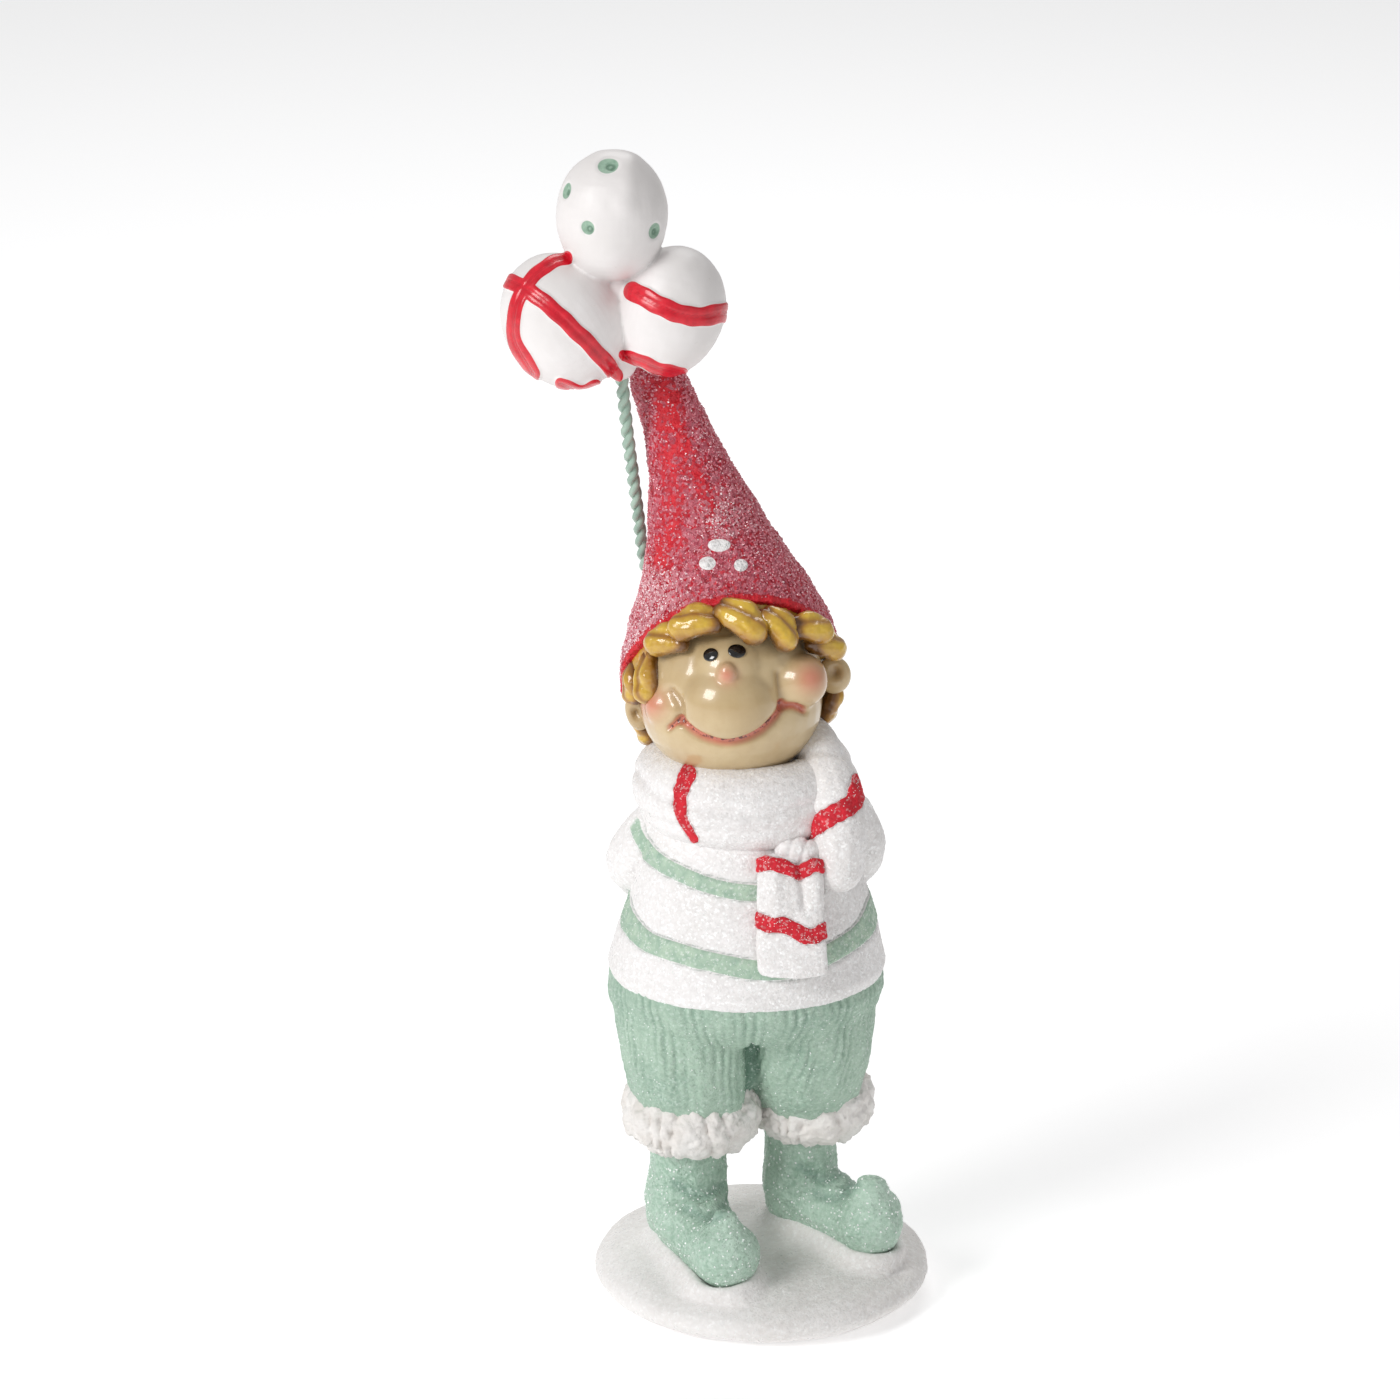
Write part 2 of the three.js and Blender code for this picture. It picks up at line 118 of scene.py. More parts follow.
class Finish:  # a material and short ways to wire it up
    def __init__(self, name, base, rough=0.5, coat=0.0, coatRough=0.1, specular=0.5):
        self.material = bpy.data.materials.new(name)
        self.material.use_nodes = True
        self.tree = self.material.node_tree
        self.shader = self.tree.nodes["Principled BSDF"]
        self.shader.inputs["Base Color"].default_value = paint(base)
        self.shader.inputs["Roughness"].default_value = rough
        self.shader.inputs["Coat Weight"].default_value = coat
        self.shader.inputs["Coat Roughness"].default_value = coatRough
        self.shader.inputs["Specular IOR Level"].default_value = specular
        self.coords = self.add("ShaderNodeTexCoord").outputs["Object"]

    def add(self, kind, **settings):
        node = self.tree.nodes.new(kind)
        for key, value in settings.items():
            setattr(node, key, value)
        return node

    def put(self, socket, value):
        if hasattr(value, "links"):
            self.tree.links.new(value, socket)
        else:
            socket.default_value = value

    def noise(self, size, detail=3.0):  # size in mm
        node = self.add("ShaderNodeTexNoise")
        self.put(node.inputs["Vector"], self.coords)
        node.inputs["Scale"].default_value = 1 / (size * mm)
        node.inputs["Detail"].default_value = detail
        return node.outputs["Fac"]

    def grains(self, size):  # one random colour for each grain, size in mm
        node = self.add("ShaderNodeTexVoronoi")
        self.put(node.inputs["Vector"], self.coords)
        node.inputs["Scale"].default_value = 1 / (size * mm)
        return node.outputs["Color"]

    def part(self, color, channel):
        node = self.add("ShaderNodeSeparateColor")
        self.put(node.inputs["Color"], color)
        return node.outputs[channel]

    def ramp(self, value, low, high, toLow=0.0, toHigh=1.0):
        node = self.add("ShaderNodeMapRange", clamp=True)
        for socket, setting in zip(("Value", "From Min", "From Max", "To Min", "To Max"),
                                   (value, low, high, toLow, toHigh)):
            self.put(node.inputs[socket], setting)
        return node.outputs["Result"]

    def math(self, kind, a, b):
        node = self.add("ShaderNodeMath", operation=kind)
        self.put(node.inputs[0], a)
        self.put(node.inputs[1], b)
        return node.outputs[0]

    def mix(self, factor, a, b):
        node = self.add("ShaderNodeMix", data_type="RGBA")
        self.put(node.inputs["Factor"], factor)
        self.put(node.inputs["A"], paint(a) if isinstance(a, str) else a)
        self.put(node.inputs["B"], paint(b) if isinstance(b, str) else b)
        return node.outputs["Result"]

    def mark(self, name):  # what a piece has painted on its own points
        return self.add("ShaderNodeAttribute", attribute_name=name).outputs["Fac"]

    def bump(self, height, strength, distance, normal=None):  # distance in mm
        node = self.add("ShaderNodeBump")
        node.inputs["Strength"].default_value = strength
        node.inputs["Distance"].default_value = distance * mm
        self.put(node.inputs["Height"], height)
        if normal is not None:
            self.put(node.inputs["Normal"], normal)
        return node.outputs["Normal"]

    def facets(self, grainColor, tilt, normal=None):  # each grain leans its own way
        if normal is None:
            normal = self.add("ShaderNodeNewGeometry").outputs["Normal"]
        lean = self.add("ShaderNodeVectorMath", operation="MULTIPLY_ADD")
        self.put(lean.inputs[0], grainColor)
        lean.inputs[1].default_value = (2 * tilt,) * 3
        lean.inputs[2].default_value = (-tilt,) * 3
        total = self.add("ShaderNodeVectorMath", operation="ADD")
        self.put(total.inputs[0], lean.outputs[0])
        self.put(total.inputs[1], normal)
        even = self.add("ShaderNodeVectorMath", operation="NORMALIZE")
        self.put(even.inputs[0], total.outputs[0])
        return even.outputs[0]

    def use(self, **sockets):
        names = {"color": "Base Color", "rough": "Roughness", "normal": "Normal"}
        for key, value in sockets.items():
            self.put(self.shader.inputs[names[key]], value)
        return self.material


def glitterPaint(name, look):
    # paint with clear grit strewn over it while it was wet
    finish = Finish(name, look["base"], look["rough"])
    tone = finish.mix(finish.ramp(finish.noise(look["cloud"]), 0.35, 0.65), look["base"], look["shade"])
    tone = finish.mix(finish.ramp(finish.noise(look["mottle"], 4), 0.40, 0.72, 0, 0.7), tone, look["worn"])
    # painted shade: the crease mark darkens the paint towards a darker colour in creases and folds
    if "shadedCrease" in look:
        shadedCrease = finish.ramp(finish.mark("crease"), 0.05, 1.0, 0, look["creaseShadeAmount"])
        tone = finish.mix(shadedCrease, tone, look["shadedCrease"])
    color = finish.grains(look["grain"])
    chance = finish.part(color, "Green")
    frost = finish.ramp(chance, 1 - look["frostShare"], 1 - look["frostShare"] * 0.5, 0, look["frostAmount"])
    tone = finish.mix(frost, tone, look["frost"])
    for markName, main, other, grooveShade in look.get("marks", []):
        edge = finish.math("ADD", finish.mark(markName), finish.ramp(finish.noise(0.8), 0, 1, -0.08, 0.08))
        patch = finish.mix(finish.ramp(finish.noise(1.3), 0.35, 0.7), main, other)
        patch = finish.mix(finish.math("MULTIPLY", frost, 0.35), patch, look["frost"])
        tone = finish.mix(finish.ramp(edge, 0.46, 0.54), tone, patch)
        # painted shade: the groove along each band's edge is darkened
        tone = finish.mix(finish.ramp(finish.mark("shaded_groove"), 0.3, 0.9, 0, 0.75), tone, grooveShade)
    glint = finish.ramp(chance, 1 - look["glintShare"], 1 - look["glintShare"] * 0.8)
    grit = finish.bump(finish.noise(look["grain"] * 0.9, 2), look["gritStrength"], look["grain"] * 0.5)
    normal = finish.facets(color, look["tilt"], grit)
    return finish.use(color=tone, rough=finish.ramp(glint, 0, 1, look["rough"], 0.12), normal=normal)


glitterLooks = {
    "snowPaint": {"base": "#E9E6E4", "shade": "#E0DCD9", "worn": "#F1EFEE", "cloud": 14, "mottle": 0.8,
                  "rough": 0.8, "grain": 0.3, "frost": "#FFFFFF", "frostShare": 0.14, "frostAmount": 0.35,
                  "glintShare": 0.05, "tilt": 0.16, "gritStrength": 0.5},
    "whiteKnitPaint": {"base": "#E9E6E5", "shade": "#E2DFDD", "worn": "#F3F1F1", "cloud": 12, "mottle": 0.7,
                       "rough": 0.75, "grain": 0.3, "frost": "#FFFFFF", "frostShare": 0.2, "frostAmount": 0.7,
                       "glintShare": 0.06, "tilt": 0.22, "gritStrength": 0.55,
                       "marks": [("green", "#B2C8B3", "#98B3A0", "#8C9C90")]},
    "scarfPaint": {"base": "#E8E5E4", "shade": "#E0DCDA", "worn": "#F2F0F0", "cloud": 10, "mottle": 0.7,
                   "rough": 0.75, "grain": 0.3, "frost": "#FFFFFF", "frostShare": 0.2, "frostAmount": 0.6,
                   "glintShare": 0.06, "tilt": 0.2, "gritStrength": 0.55,
                   "marks": [("red", "#D81A2E", "#B20D20", "#7A1520")]},
    "mintKnitPaint": {"base": "#A6BFAC", "shade": "#93AE9C", "worn": "#B8CDBC", "cloud": 9, "mottle": 0.6,
                      "rough": 0.62, "grain": 0.3, "frost": "#C9DCD0", "frostShare": 0.16, "frostAmount": 0.5,
                      "glintShare": 0.08, "tilt": 0.3, "gritStrength": 0.75,
                      # painted shade colour for the creases and its strength
                      "shadedCrease": "#5F8270", "creaseShadeAmount": 0.85},
    "mintBootPaint": {"base": "#B0CAB8", "shade": "#97B5A1", "worn": "#C9DDCF", "cloud": 7, "mottle": 0.6,
                      "rough": 0.55, "grain": 0.33, "frost": "#C6DACD", "frostShare": 0.18,
                      "frostAmount": 0.5, "glintShare": 0.1, "tilt": 0.34, "gritStrength": 0.8,
                      # painted shade colour for the creases and its strength
                      "shadedCrease": "#64877A", "creaseShadeAmount": 0.7},
}
finishes = {name: glitterPaint(name, look) for name, look in glitterLooks.items()}


def hatPaint():
    finish = Finish("hatFrost", "#B01830", 0.5)
    patchy = finish.ramp(finish.noise(1.7, 4), 0.36, 0.60, 0.35, 1)
    bare = finish.math("MULTIPLY", finish.mark("bare"), patchy)  # the streaks and the rim where the red shows
    red = finish.mix(finish.ramp(finish.noise(0.7, 3), 0.35, 0.65), "#C81B30", "#8C1428")
    rim = finish.mark("rim")
    red = finish.mix(finish.math("MAXIMUM", bare, rim), red, "#D41628")
    color = finish.grains(0.46)
    chance = finish.part(color, "Red")
    few = finish.math("MAXIMUM", finish.ramp(bare, 0, 1, 0.30, 0.92), finish.ramp(rim, 0.2, 0.6, 0, 1.1))
    frosted = finish.ramp(finish.math("SUBTRACT", chance, few), -0.03, 0.15)
    pink = finish.mix(finish.part(color, "Blue"), "#B8465A", "#D98794")
    pink = finish.mix(finish.math("MULTIPLY", finish.mark("pale"), 0.6), pink, "#EFC3C8")
    tone = finish.mix(finish.math("MULTIPLY", frosted, 0.78), red, pink)
    tone = finish.mix(finish.ramp(finish.mark("dots"), 0.45, 0.55), tone, "#EDEBEA")
    grit = finish.bump(finish.noise(0.35, 2), 0.9, 0.3)
    return finish.use(color=tone, normal=finish.facets(color, 0.38, grit))


def skinPaint():
    finish = Finish("skinGloss", "#CDB48A", 0.36, coat=0.75, coatRough=0.1)
    tone = finish.mix(finish.ramp(finish.noise(6), 0.35, 0.7), "#CBB48A", "#BFA579")
    tone = finish.mix(finish.ramp(finish.noise(1.2, 4), 0.5, 0.8, 0, 0.25), tone, "#B99A6C")
    # painted shade: the crease mark darkens the skin to brown in creases, ear hollows and between fingers
    tone = finish.mix(finish.ramp(finish.mark("crease"), 0, 1, 0, 0.75), tone, "#8D6B41")
    tone = finish.mix(finish.ramp(finish.mark("blush"), 0, 1, 0, 0.72), tone, "#D4735F")
    tone = finish.mix(finish.ramp(finish.mark("lips"), 0.25, 0.9, 0, 0.85), tone, "#CC6554")
    specks = finish.ramp(finish.noise(0.5, 2), 0.5, 0.62)
    specks = finish.math("MULTIPLY", specks, finish.ramp(finish.mark("lipLine"), 0.4, 0.8))
    tone = finish.mix(specks, tone, "#5B241B")
    dimples = finish.bump(finish.noise(1.5, 2), 0.1, 0.3)
    return finish.use(color=tone, normal=finish.bump(finish.noise(5, 2), 0.15, 1.0, dimples))


def hairPaint():
    finish = Finish("hairGloss", "#BD9126", 0.3, coat=0.7, coatRough=0.08)
    streaks = finish.ramp(finish.noise(2.2, 4), 0.4, 0.7)
    tone = finish.mix(streaks, "#D6B03C", "#B98E30")
    # painted shade: brown, then dark brown, where the crease mark is high; the mark also carries streaks
    # along the locks
    tone = finish.mix(finish.ramp(finish.mark("crease"), 0.05, 0.5, 0, 0.8), tone, "#A36C22")
    tone = finish.mix(finish.ramp(finish.mark("crease"), 0.4, 0.95), tone, "#6B4210")
    return finish.use(color=tone, normal=finish.bump(finish.noise(1.0, 3), 0.3, 0.3))


def furPaint():
    finish = Finish("furTrim", "#F0EEEB", 0.85)
    tone = finish.mix(finish.ramp(finish.noise(3), 0.35, 0.7), "#E9E6E3", "#DFDAD5")
    # painted shade: the crease mark turns the fur beige in its folds
    tone = finish.mix(finish.ramp(finish.mark("crease"), 0.2, 1, 0, 0.6), tone, "#CFC6BC")
    return finish.use(color=tone, normal=finish.bump(finish.noise(0.5, 4), 0.6, 0.25))


def balloonPaint():
    finish = Finish("balloonSatin", "#E4E0DE", 0.48, coat=0.15, coatRough=0.3)
    tone = finish.mix(finish.ramp(finish.noise(9), 0.35, 0.7), "#E6E2E1", "#DDD9D7")
    tone = finish.mix(finish.ramp(finish.noise(0.9, 5), 0.70, 0.78, 0, 0.5), tone, "#CFC9C4")
    green = finish.mix(finish.ramp(finish.noise(0.8), 0.3, 0.7), "#9FBCA7", "#7C9C87")
    tone = finish.mix(finish.ramp(finish.mark("green"), 0.42, 0.58), tone, green)
    # painted shade: darker green in the small pit inside each dot
    tone = finish.mix(finish.ramp(finish.mark("shaded_pit"), 0.3, 0.8, 0, 0.8), tone, "#5F7F6B")
    red = finish.mix(finish.ramp(finish.noise(1.2), 0.35, 0.7), "#DA1B2F", "#BE1226")
    # painted shade: darker red in the groove down each ribbon
    red = finish.mix(finish.ramp(finish.mark("shaded_groove"), 0.4, 0.9, 0, 0.8), red, "#8E1222")
    ribbon = finish.ramp(finish.mark("red"), 0.44, 0.56)
    tone = finish.mix(ribbon, tone, red)
    return finish.use(color=tone, rough=finish.ramp(ribbon, 0, 1, 0.5, 0.26),
                      normal=finish.bump(finish.noise(1.6, 3), 0.16, 0.3))


def wirePaint():
    finish = Finish("wireEnamel", "#9BB3A4", 0.42, coat=0.2)
    tone = finish.mix(finish.ramp(finish.noise(2.0, 3), 0.35, 0.7), "#A4BBAC", "#86A192")
    return finish.use(color=tone, normal=finish.bump(finish.noise(0.7, 3), 0.2, 0.1))


def eyePaint():
    finish = Finish("eyeBlack", "#0B0B0C", 0.12, coat=0.8, coatRough=0.05)
    tone = finish.mix(finish.ramp(finish.noise(0.4), 0.4, 0.7), "#0A0A0B", "#1C1A19")
    return finish.use(color=tone)


def crystalPaint(name, base, other):
    finish = Finish(name, base, 0.16, specular=0.7)
    color = finish.grains(0.5)
    return finish.use(color=finish.mix(finish.part(color, "Red"), base, other))


finishes.update(hat=hatPaint(), skin=skinPaint(), hair=hairPaint(), fur=furPaint(), balloon=balloonPaint(),
                wire=wirePaint(), eye=eyePaint())
for name, base, other in (("pinkCrystal", "#BE4A5E", "#E5A5AE"), ("whiteCrystal", "#E7B9C0", "#FBEDEE"),
                          ("clearCrystal", "#E9F1EC", "#FFFFFF"), ("mintCrystal", "#A9C9B6", "#F2FAF5")):
    finishes[name] = crystalPaint(name, base, other)
print("paints mixed")


# shaping by hand
def settle(piece, name=None):
    pick(piece)
    bpy.ops.object.transform_apply(location=True, rotation=True, scale=True)
    if name:
        piece.name = name
        piece.data.name = name
    return piece


def ball(at, radii, turn=(0, 0, 0), fine=32):
    letGo()
    bpy.ops.mesh.primitive_uv_sphere_add(segments=fine, ring_count=fine // 2, radius=mm, location=metres(at),
                                         rotation=[math.radians(a) for a in turn], scale=radii)
    return settle(bpy.context.object)


def smoothPath(chosen, steps=8):  # a smooth run of points through a few chosen ones
    given = np.array(chosen, float)
    ends = np.vstack([2 * given[0] - given[1], given, 2 * given[-1] - given[-2]])
    run = []
    for i in range(1, len(ends) - 2):
        a, b, c, d = ends[i - 1:i + 3]
        for t in np.linspace(0, 1, steps, endpoint=False):
            run.append(0.5 * (2 * b + (c - a) * t + (2 * a - 5 * b + 4 * c - d) * t * t
                              + (3 * b - a - 3 * c + d) * t ** 3))
    return np.array(run + [given[-1]])


def rod(stations, sides=12, steps=8, ends=True):  # stations are (x, y, z, radius) in mm
    run = smoothPath(stations, steps)
    curve = bpy.data.curves.new("rod", "CURVE")
    curve.dimensions = "3D"
    curve.bevel_depth = mm
    curve.bevel_resolution = sides // 4
    curve.use_fill_caps = True
    spline = curve.splines.new("POLY")
    spline.points.add(len(run) - 1)
    for point, (x, y, z, radius) in zip(spline.points, run):
        point.co = (x * mm, y * mm, z * mm, 1)
        point.radius = radius
    made = bpy.data.objects.new("rod", curve)
    bpy.context.collection.objects.link(made)
    pick(made)
    bpy.ops.object.convert(target="MESH")
    parts = [bpy.context.object]
    if ends:
        parts += [ball(run[i][:3], (run[i][3],) * 3, fine=24) for i in (0, -1)]
    return join(parts)


def join(parts):
    pick(*parts)
    if len(parts) > 1:
        bpy.ops.object.join()
    return bpy.context.object


def stack(rings, sides=48):  # rings are (x, y, z, half width, half depth), lowest first
    letGo()
    x, y, z, wide, deep = rings[0]
    bpy.ops.mesh.primitive_circle_add(vertices=sides, radius=mm, fill_type="NGON", location=metres((x, y, z)))
    piece = bpy.context.object
    bpy.ops.object.mode_set(mode="EDIT")
    bpy.ops.mesh.select_all(action="SELECT")
    bpy.ops.transform.resize(value=(wide, deep, 1), center_override=metres((x, y, z)))
    for (x, y, z, wide, deep), (nextX, nextY, nextZ, nextWide, nextDeep) in zip(rings, rings[1:]):
        step = metres((nextX - x, nextY - y, nextZ - z))
        bpy.ops.mesh.extrude_region_move(TRANSFORM_OT_translate={"value": step})
        bpy.ops.transform.resize(value=(nextWide / wide, nextDeep / deep, 1),
                                 center_override=metres((nextX, nextY, nextZ)))
    bpy.ops.mesh.select_all(action="SELECT")
    bpy.ops.mesh.normals_make_consistent(inside=False)
    bpy.ops.object.mode_set(mode="OBJECT")
    return settle(piece)


def modify(piece, kind, **settings):
    pick(piece)
    modifier = piece.modifiers.new(kind.lower(), kind)
    for key, value in settings.items():
        setattr(modifier, key, value)
    bpy.ops.object.modifier_apply(modifier=modifier.name)
    return piece


def fuse(parts, voxel, passes=6, name=None):  # one skin over all the parts; voxel in mm
    piece = settle(join(parts))
    modify(piece, "REMESH", mode="VOXEL", voxel_size=voxel * mm)
    soften(piece, passes)
    return settle(piece, name)


def soften(piece, passes):
    modify(piece, "SMOOTH", factor=0.5, iterations=passes)


def cutBy(piece, at, facing):  # cuts off what lies on the facing side of a plane
    pick(piece)
    bpy.ops.object.mode_set(mode="EDIT")
    bpy.ops.mesh.select_all(action="SELECT")
    bpy.ops.mesh.bisect(plane_co=metres(at), plane_no=Vector(facing).normalized(), use_fill=True,
                        clear_outer=True)
    bpy.ops.object.mode_set(mode="OBJECT")
    return piece


def points(piece):  # every point of a piece, in mm
    flat = np.empty(len(piece.data.vertices) * 3)
    piece.data.vertices.foreach_get("co", flat)
    return flat.reshape(-1, 3) / mm


def onFace(xyz):  # the same points as seen square on to the leaning plane: across and up
    return np.stack([xyz[:, 0], xyz[:, 1] * math.sin(lookDown) + xyz[:, 2] * math.cos(lookDown)], axis=1)


def alongPath(spots, path):  # each spot's distance to a path in mm, and where on the path it is, 0 to 1
    path = np.array(path, float)
    best = np.full(len(spots), 1e9)
    share = np.zeros(len(spots))
    for i, (a, b) in enumerate(zip(path[:-1], path[1:])):
        leg = b - a
        t = np.clip(((spots - a) @ leg) / max(leg @ leg, 1e-9), 0, 1)
        far = np.linalg.norm(spots - (a + t[:, None] * leg), axis=1)
        share = np.where(far < best, (i + t) / (len(path) - 1), share)
        best = np.minimum(best, far)
    return best, share


def farFrom(spots, path):
    return alongPath(spots, path)[0]


def hill(distance, width):
    return np.exp(-(distance / width) ** 2)


def shelf(distance, width, edge=0.25):  # 1 inside the width, 0 outside, and a short slope between
    return np.clip((width - distance) / edge * 0.5 + 0.5, 0, 1)


def push(piece, weights, height):  # moves points along their normals, in mm
    weights = np.clip(weights, 0, 1)
    group = piece.vertex_groups.new(name="push")
    for i in np.flatnonzero(weights > 0.004):
        group.add([int(i)], float(weights[i]), "REPLACE")
    modify(piece, "DISPLACE", vertex_group="push", strength=height * mm, mid_level=0.0)
    piece.vertex_groups.clear()


def rough(piece, size, height):  # lumps of a size and height in mm
    texture = bpy.data.textures.new("lumps", "CLOUDS")
    texture.noise_scale = size * mm
    modify(piece, "DISPLACE", texture=texture, texture_coords="LOCAL", strength=height * mm, mid_level=0.5)


def remember(piece, name, values):  # keeps a value on each point for the paint to read
    layer = piece.data.attributes.get(name) or piece.data.attributes.new(name, "FLOAT", "POINT")
    layer.data.foreach_set("value", np.clip(values, 0, 1).astype(np.float32))


def hand(piece, finish, body=figure, nodes=(), smooth=True):  # paints a piece and gives it its body
    piece.data.materials.clear()
    piece.data.materials.append(finishes[finish])
    pick(piece)
    if smooth:
        bpy.ops.object.shade_smooth()
    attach(piece, body)
    if nodes:
        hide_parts(*nodes)


def treeOf(piece):
    corners = [v.co.copy() for v in piece.data.vertices]
    return BVHTree.FromPolygons(corners, [tuple(p.vertices) for p in piece.data.polygons])


def landOn(tree, across, up):  # the point and normal of a surface behind a spot of the leaning plane
    ray = Vector((0, math.cos(lookDown), -math.sin(lookDown)))
    rise = Vector((0, math.sin(lookDown), math.cos(lookDown)))
    origin = (Vector((across, 0, 0)) + rise * up - ray * 60) * mm  # well in front of the gnome
    return tree.ray_cast(origin, ray)[:2]


def above(low, high=1000):  # where to sprinkle, by height in mm
    return lambda at: (at[:, 2] > low) * (at[:, 2] < high)


def sprinkle(piece, name, count, size, seed, finish, body=figure, where=None):
    # small crystals stuck on a skin, each an eight-sided grain with its own turn
    random = np.random.default_rng(seed)
    mesh = piece.data
    mesh.calc_loop_triangles()
    corners = np.array([t.vertices for t in mesh.loop_triangles])
    spots = points(piece)
    a, b, c = (spots[corners[:, k]] for k in range(3))
    weight = np.linalg.norm(np.cross(b - a, c - a), axis=1)
    if where is not None:
        weight = weight * where((a + b + c) / 3)
    chosen = random.choice(len(corners), count, p=weight / weight.sum())
    s, t = random.random(count), random.random(count)
    s, t = np.where(s + t > 1, 1 - s, s), np.where(s + t > 1, 1 - t, t)
    middle = a[chosen] + s[:, None] * (b - a)[chosen] + t[:, None] * (c - a)[chosen]
    turns = np.linalg.qr(random.normal(size=(count, 3, 3)))[0]
    reach = size * (0.55 + 0.65 * random.random((count, 1, 3)))
    tips = np.array([(1, 0, 0), (0, 1, 0), (-1, 0, 0), (0, -1, 0), (0, 0, 1), (0, 0, -1)], float)
    flip = np.where(np.linalg.det(turns) < 0, -1.0, 1.0)
    turns[:, :, 2] *= flip[:, None]
    made = np.einsum("nij,nkj->nki", turns, tips[None] * reach * 0.5) + middle[:, None]
    sides = np.array([(0, 1, 4), (1, 2, 4), (2, 3, 4), (3, 0, 4), (1, 0, 5), (2, 1, 5), (3, 2, 5), (0, 3, 5)])
    faces = (sides[None] + 6 * np.arange(count)[:, None, None]).reshape(-1, 3)
    grains = bpy.data.meshes.new(name)
    grains.from_pydata((made.reshape(-1, 3) * mm).tolist(), [], faces.tolist())
    crystals = bpy.data.objects.new(name, grains)
    bpy.context.collection.objects.link(crystals)
    hand(crystals, finish, body, smooth=False)


# floor
letGo()
bpy.ops.mesh.primitive_plane_add(size=6, location=(0, 0, cadBox[0][2]))
floor = bpy.context.object
floor.name = "floor"
floorPaint = bpy.data.materials.new("palePaper")
floorPaint.use_nodes = True
floorPaint.node_tree.nodes["Principled BSDF"].inputs["Base Color"].default_value = (*studio["floorColor"], 1)
floorPaint.node_tree.nodes["Principled BSDF"].inputs["Roughness"].default_value = 0.9
floorPaint.node_tree.nodes["Principled BSDF"].inputs["Emission Color"].default_value = (1, 1, 1, 1)
floorPaint.node_tree.nodes["Principled BSDF"].inputs["Emission Strength"].default_value = studio["floorGlow"]
floor.data.materials.append(floorPaint)
print("studio ready")

# snow base
snow = {"radius": 24.4, "voxel": 0.4, "drift": 2.3,
        "edge": [(0.1, 4.4), (0.1, 4.0), (1.0, 2.0), (2.2, 0.6), (3.4, 0), (4.7, 0.7), (5.8, 2.6), (6.6, 5.6),
                 (7.4, 12.2), (7.7, 22.4)],  # heights, and how far each ring stands in from the radius
        "footprints": [[(-11.0, 0.6), (-9.6, -5.2), (-7.4, -10.6), (-5.4, -15.2)],
                       [(6.0, 6.0), (8.8, 2.8), (12.2, -1.4), (15.2, -5.0)]]}
r = snow["radius"]
base = stack([(0, 0, z, r - inset, r - inset) for z, inset in snow["edge"]])
base = fuse([base], snow["voxel"], 4, "snow_base_skin")
xyz = points(base)
drift = sum(hill(farFrom(xyz[:, :2], smoothPath(path)) - 4.3, 1.6) for path in snow["footprints"])
push(base, drift * (xyz[:, 2] > 6), snow["drift"])
soften(base, 3)
rough(base, 9, 0.5)
rough(base, 1.6, 0.12)
cutBy(base, (0, 0, 0.05), (0, 0, -1))
hand(base, "snowPaint", nodes=["snow_base"])
sprinkle(base, "snow_glints", 1500, 0.2, 11, "clearCrystal", where=above(1.0))
print("base done")

# boots
boots = {
    "right": {"shaft": [(-10.7, -1.3, 28, 5.5), (-10.7, -1.2, 20, 5.6), (-10.8, -0.6, 13, 6.4)],
              "foot": [(-11.0, 0.6, 11.3, 5.9), (-9.6, -5.2, 12.0, 5.7), (-7.4, -10.6, 11.2, 4.9),
                       (-5.2, -15.6, 11.6, 4.9)],
              "toe": [(-5.2, -15.8, 11.8, 4.9), (-5.2, -15.8, 14.2, 3.9), (-5.5, -15.3, 16.6, 2.2)],
              "creases": [[(-12.6, 15.2), (-9.0, 13.6), (-5.6, 14.6)],
                          [(-11.0, 11.8), (-7.6, 10.8), (-4.4, 12.8)]]},
    "left": {"shaft": [(5.7, 4.3, 28, 5.3), (5.6, 4.6, 20, 5.4), (5.8, 5.2, 13, 6.0)],
             "foot": [(6.0, 6.0, 11.3, 5.6), (8.8, 2.8, 12.0, 5.4), (12.2, -1.4, 11.2, 4.8),
                      (15.4, -5.3, 11.6, 4.8)],
             "toe": [(15.4, -5.5, 12.2, 4.9), (15.7, -5.7, 14.6, 4.5), (15.5, -5.6, 16.5, 3.0)],
             "creases": [[(5.6, 17.2), (8.8, 15.4), (12.2, 16.6)],
                         [(7.8, 13.4), (10.6, 13.0), (13.4, 15.2)]]},
}
for side, shape in boots.items():
    parts = [rod(shape["shaft"], ends=False), rod(shape["foot"]), rod(shape["toe"])]
    boot = fuse(parts, 0.32, 14, f"boot_{side}_skin")
    seen = onFace(points(boot))
    shadedCrease = sum(hill(farFrom(seen, smoothPath(path)), 0.8) for path in shape["creases"])
    push(boot, shadedCrease, -0.35)
    # painted shade: the creases are remembered for the paint to darken
    remember(boot, "crease", shadedCrease * 0.7)
    rough(boot, 5, 0.45)
    rough(boot, 0.7, 0.26)
    hand(boot, "mintBootPaint", nodes=[f"boot_{side}"])
    sprinkle(boot, f"boot_{side}_glints", 1500, 0.17, 21, "mintCrystal", where=above(6.5))
    sprinkle(boot, f"boot_{side}_sparks", 560, 0.4, 22, "clearCrystal", where=above(8.0))
print("boots done")

